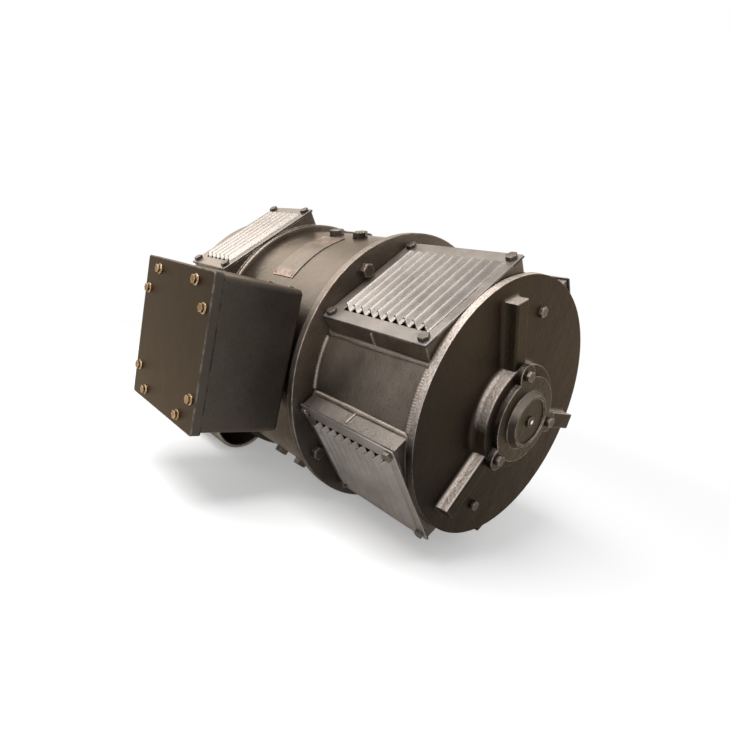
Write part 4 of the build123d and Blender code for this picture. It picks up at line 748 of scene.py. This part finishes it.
def steel(name, colour, rough, along, around, depth=0.00004):
    """Bright metal with fine tool marks: noise stretched across the direction of cut, and a
    darker stain over it in soft patches."""
    made, tree, shader = plain_material(name, Metallic=1.0)
    spot = add_node(tree, "TexCoord").outputs["Object"]
    lines = add_node(tree, "Mapping", {"Vector": spot, "Scale": (along, around, around)})
    cut = clouding(tree, lines.outputs[0], 1.0, detail=4.0)
    tone = spread(tree, clouding(tree, spot, stain_scale, detail=4.0), *stain_span)
    stained = (*(stain_shade * c for c in colour), 1.0)
    bump = add_node(tree, "Bump", {"Distance": depth, "Height": cut}).outputs[0]
    dulled = spread(tree, cut, *cut_span, *(share * rough for share in cut_shares))
    feed(tree, shader, Base_Color=blend_colours(tree, tone, stained, (*colour, 1.0)),
         Roughness=dulled, Normal=bump)
    return made


ground_steel = steel("ground_steel", (0.62, 0.61, 0.59), rough=0.24, along=2400.0, around=60.0)
finish_nodes(ground_steel, "outer_races", "inner_races", "commutator_balls", "drive_balls")

# Shaft, fan and armature: a turned shaft, a cast iron fan, a core of stamped sheets with
# varnished coils in its slots, and copper bars on a steel hub. They turn together.
turned_steel = steel("turned_steel", (0.55, 0.54, 0.52), rough=0.30, along=1500.0, around=25.0,
                     depth=0.00008)
finish_nodes(turned_steel, "shaft", "commutator_hub")
finish_nodes(cast_enamel, "fan")
wave_spacing = 0.314
mottle_scale = 60.0


def banded(name, low, high, metal, rough, pitch, depth):
    """Thin layers stacked along the shaft, such as stamped sheets or wound tape: straight
    bands of two tones, one to a pitch, with a groove between them. At a scale of 1 the wave
    texture's bands lie wave_spacing apart."""
    made, tree, shader = plain_material(name, Metallic=metal, Roughness=rough)
    spot = add_node(tree, "TexCoord").outputs["Object"]
    waves = add_node(tree, "TexWave", {"Vector": spot, "Scale": wave_spacing / pitch,
                                       "Distortion": 0.6, "Detail": 2.0, "Detail Scale": 3.0},
                     bands_direction="X").outputs["Fac"]
    tone = product(tree, waves, clouding(tree, spot, mottle_scale, detail=4.0))
    bump = add_node(tree, "Bump", {"Distance": depth, "Height": waves}).outputs[0]
    feed(tree, shader, Base_Color=blend_colours(tree, tone, (*low, 1.0), (*high, 1.0)),
         Normal=bump)
    return made


core_sheets = banded("core_sheets", (0.10, 0.10, 0.105), (0.42, 0.42, 0.42), metal=0.9,
                     rough=0.42, pitch=0.0012, depth=0.0002)
finish_nodes(core_sheets, "armature_core", "main_poles", "inter_poles")
copper_bars = steel("copper_bars", (0.72, 0.36, 0.22), rough=0.26, along=2200.0, around=15.0)
finish_nodes(copper_bars, "commutator_bars")
winding_finish = banded("winding_varnish", (0.16, 0.055, 0.02), (0.42, 0.17, 0.07), metal=0.0,
                        rough=0.34, pitch=0.006, depth=0.0006)
finish_nodes(winding_finish, "armature_winding")

# Field coils: copper wire wound on the main poles and the interpoles, taped round and dipped
# in varnish.
coil_finish = banded("coil_tape", (0.20, 0.075, 0.03), (0.36, 0.16, 0.07), metal=0.0, rough=0.4,
                     pitch=0.016, depth=0.0008)
finish_nodes(coil_finish, "field_coils", "inter_pole_coils")

# Brush gear: a steel rocker ring, insulated arms, cast brass holders and carbon brushes that
# sprung fingers press on the commutator.
finish_nodes(turned_steel, "brush_rocker", "brush_arms")
brass_finish = steel("cast_brass", (0.70, 0.50, 0.22), rough=0.34, along=300.0, around=300.0,
                     depth=0.0002)
finish_nodes(brass_finish, "brush_holders")
insulator_finish = soft_finish("insulator_resin", (0.23, 0.075, 0.03), (0.30, 0.11, 0.05),
                               rough=0.35, scale=120.0, depth=0.0001)
finish_nodes(insulator_finish, "arm_insulators", "terminal_board")
carbon_finish = soft_finish("brush_carbon", (0.012, 0.012, 0.013), (0.035, 0.035, 0.037),
                            rough=0.45, scale=500.0, depth=0.0001)
finger_steel = steel("spring_steel", (0.50, 0.49, 0.48), rough=0.32, along=900.0, around=200.0)
for n in (1, 2, 3, 4):
    finish_nodes(carbon_finish, f"brushes_{n}")
    finish_nodes(finger_steel, f"brush_fingers_{n}")

# Terminal box: folded and welded steel sheet on a square neck, with a lid that laps over it.
# The sheet is smooth, so the enamel lies flat and satin on it. The lid's folded lip is painted
# paler, as a painted highlight on the fold.
# The lid is held by brass bolts, and brass glands hold the cables.
box_enamel = enamel("box_enamel", (0.050, 0.042, 0.035), (0.071, 0.060, 0.050),
                    (0.30, 0.26, 0.225), metal=0.92, gloss=0.36, matt=0.46, cloud_scale=4.0,
                    grain_scale=500.0, grain_depth=0.0002, wear_and_light=0.9, edge=0.0030, sag=0.0008,
                    dust_and_light_share=0.2)
finish_nodes(box_enamel, "terminal_neck", "terminal_box", "lid_frame", "gland_plate")
lid_enamel = enamel("lid_enamel", (0.022, 0.0165, 0.0107), (0.032, 0.025, 0.0175),
                    (0.38, 0.335, 0.29), metal=0.92, gloss=0.38, matt=0.46, cloud_scale=4.0,
                    grain_scale=500.0, grain_depth=0.0002, wear_and_light=0.95, edge=0.0048, sag=0.0006,
                    dust_and_light_share=0.15)
# Painted highlight: the lid's folded lip takes a paler colour, leaving its edges as they are.
lip_lit_colour = (0.066, 0.055, 0.046, 1.0)
lip_span = (0.60, 0.30)
lid_tree, lid_shader, lid_colour = colour_of(lid_enamel)
lip_facing = spread(lid_tree, facing_share(lid_tree, 1), *lip_span)
lid_edges = next(node for node in lid_tree.nodes
                 if getattr(node, "node_tree", None) == edge_tree)
lip_light = add_node(lid_tree, "Math", {0: lip_facing, 1: lid_edges.outputs["Mask"]},
                    operation="SUBTRACT", use_clamp=True).outputs[0]
feed(lid_tree, lid_shader,
     Base_Color=blend_colours(lid_tree, lip_light, lid_colour, lip_lit_colour))
finish_nodes(lid_enamel, "terminal_lid")
neck_x = -0.3545
neck_half = (0.070, 0.070)
neck_seat_r = 0.2755
yoke_r = 0.2725
neck_shape = collar_bead(0.0, neck_x, neck_seat_r, yoke_r, neck_half, bead_r, 80)
add_piece("neck_weld", *neck_shape, "frame", weld_lit_enamel, "frame_paint", weld_sharp_deg)
lid_brass = enamel("lid_brass", (0.22, 0.140, 0.066), (0.34, 0.225, 0.12), (0.90, 0.70, 0.46),
                   metal=1.0, gloss=0.26, matt=0.36, cloud_scale=60.0, grain_scale=500.0,
                   grain_depth=0.0003, wear_and_light=1.0, edge=0.0016, sag=0.0, dust_and_light_share=0.2)
finish_nodes(lid_brass, "lid_bolts", "terminal_studs")
gland_brass = steel("gland_metal", (0.62, 0.52, 0.36), rough=0.34, along=900.0, around=60.0)
finish_nodes(gland_brass, "cable_glands")

# Data plate: a thin strip bent round the yoke and left bare of any marks. It was painted over
# with the frame, and is rubbed through to a copper colour near both of its ends.
near_end_deg = (38.0, 35.5)
far_end_deg = (53.5, 56.5)
rub_scale = 55.0
rub_span = (0.42, 0.56)
rubbed_colour = (0.36, 0.255, 0.205, 1.0)
plate_finish = enamel("plate_finish", (0.072, 0.061, 0.052), (0.115, 0.099, 0.086), bare_and_lit_colour,
                      metal=0.80, gloss=0.26, matt=0.38, cloud_scale=30.0, grain_scale=300.0,
                      grain_depth=0.0003, wear_and_light=0.3, edge=0.0006, sag=0.0006, dust_and_light_share=0.5)
plate_tree, plate_shader, painted = colour_of(plate_finish)
plate_spot = add_node(plate_tree, "TexCoord").outputs["Object"]
axes = add_node(plate_tree, "SeparateXYZ", {0: plate_spot})
turned = add_node(plate_tree, "Math", {0: axes.outputs[2], 1: axes.outputs[1]},
                  operation="ARCTAN2").outputs[0]
near_end, far_end = (spread(plate_tree, turned, radians(start), radians(end))
                     for start, end in (near_end_deg, far_end_deg))
ends = add_node(plate_tree, "Math", {0: near_end, 1: far_end}, operation="MAXIMUM").outputs[0]
rubs = clouding(plate_tree, plate_spot, rub_scale, detail=6.0, roughness=0.7)
bared = product(plate_tree, ends, spread(plate_tree, rubs, *rub_span))
feed(plate_tree, plate_shader,
     Base_Color=blend_colours(plate_tree, bared, painted, rubbed_colour))
finish_nodes(plate_finish, "data_plate")

# Floor: a pale studio floor that fades to white some way from the motor and keeps its shadow.
# The camera and mirrored rays see it a little brighter than the lamps alone light it.
floor_gap = 0.0004
floor_z = cad_box[0].z - floor_gap
floor_half = 40.0
floor_glow = 0.32
fade_start = 0.8
fade_end = 1.9
floor_corners = [(x * floor_half, y * floor_half, floor_z)
                 for x, y in ((-1, -1), (1, -1), (1, 1), (-1, 1))]
floor_mesh = bpy.data.meshes.new("floor")
floor_mesh.from_pydata(floor_corners, [], [(0, 1, 2, 3)])
floor_piece = bpy.data.objects.new("floor", floor_mesh)
bpy.context.scene.collection.objects.link(floor_piece)
floor_material, floor_tree, floor_shader = plain_material("floor_pale", Roughness=0.9,
                                                          Base_Color=(0.86, 0.86, 0.86, 1.0),
                                                          Emission_Color=(1.0, 1.0, 1.0, 1.0))


def seen_directly(tree, *kinds):
    """1 on rays from the camera and on the given other kinds of ray, and 0 on the rest."""
    rays = add_node(tree, "LightPath")
    seen = rays.outputs["Is Camera Ray"]
    for kind in kinds:
        seen = add_node(tree, "Math", {0: seen, 1: rays.outputs[kind]},
                        operation="MAXIMUM").outputs[0]
    return seen


floor_spot = add_node(floor_tree, "TexCoord").outputs["Object"]
floor_run = add_node(floor_tree, "VectorMath", {0: floor_spot}, operation="LENGTH")
floor_far = spread(floor_tree, floor_run.outputs["Value"], fade_start, fade_end)
floor_seen = seen_directly(floor_tree, "Is Glossy Ray")
feed(floor_tree, floor_shader, Emission_Strength=product(floor_tree, floor_seen, floor_glow))
floor_white = add_node(floor_tree, "Emission", {"Strength": 1.0})
floor_mix = add_node(floor_tree, "MixShader", {0: product(floor_tree, floor_seen, floor_far),
                                               1: floor_shader.outputs[0],
                                               2: floor_white.outputs[0]})
feed(floor_tree, floor_tree.nodes["Material Output"], Surface=floor_mix.outputs[0])
floor_mesh.materials.append(floor_material)

# Studio: a white backdrop that lights the motor softly, and three square lamps, a key above
# its near side, a rim lamp behind the drive end and a weak fill in front of the end plate.
backdrop_light = 0.36
world = bpy.data.worlds.new("studio")
bpy.context.scene.world = world
world.use_nodes = True
world_tree = world.node_tree
backdrop = world_tree.nodes["Background"]
backdrop.inputs["Color"].default_value = (1.0, 1.0, 1.0, 1.0)
world_seen = seen_directly(world_tree, "Is Glossy Ray", "Is Transmission Ray")
feed(world_tree, backdrop, Strength=spread(world_tree, world_seen, 0.0, 1.0, backdrop_light, 1.0))


def softbox(name, place, aim, size, power):
    """A square area lamp that faces a point."""
    lamp = bpy.data.lights.new(name, "AREA")
    lamp.shape = "SQUARE"
    lamp.size = size
    lamp.energy = power
    holder = bpy.data.objects.new(name, lamp)
    bpy.context.scene.collection.objects.link(holder)
    holder.location = place
    holder.rotation_euler = (Vector(aim) - Vector(place)).to_track_quat("-Z", "Y").to_euler()


softbox("key_box", (-0.45, 1.15, 2.0), (-0.4, 0.1, 0.05), size=1.4, power=44.0)
softbox("rear_box", (1.35, 0.50, 1.35), (-0.4, 0.05, 0.05), size=1.3, power=8.5)
softbox("fill_box", (-2.0, 1.7, 0.8), (-0.4, 0.0, 0.0), size=1.3, power=9.0)

# Camera: it stands before the commutator end, a little above the shaft, and leans to one side,
# as the photograph was taken.
camera_data = bpy.data.cameras.new("camera")
camera_data.sensor_width = 36.0
camera_data.lens = 24.90
camera_data.shift_x = 0.0840
camera_data.shift_y = 0.0751
camera = bpy.data.objects.new("camera", camera_data)
bpy.context.scene.collection.objects.link(camera)
camera.location = (-1.2106, 0.8461, 0.1545)
camera.rotation_euler = (radians(74.2419), radians(-11.7423), radians(-127.2851))
bpy.context.scene.camera = camera
bpy.context.scene.view_settings.view_transform = "Standard"
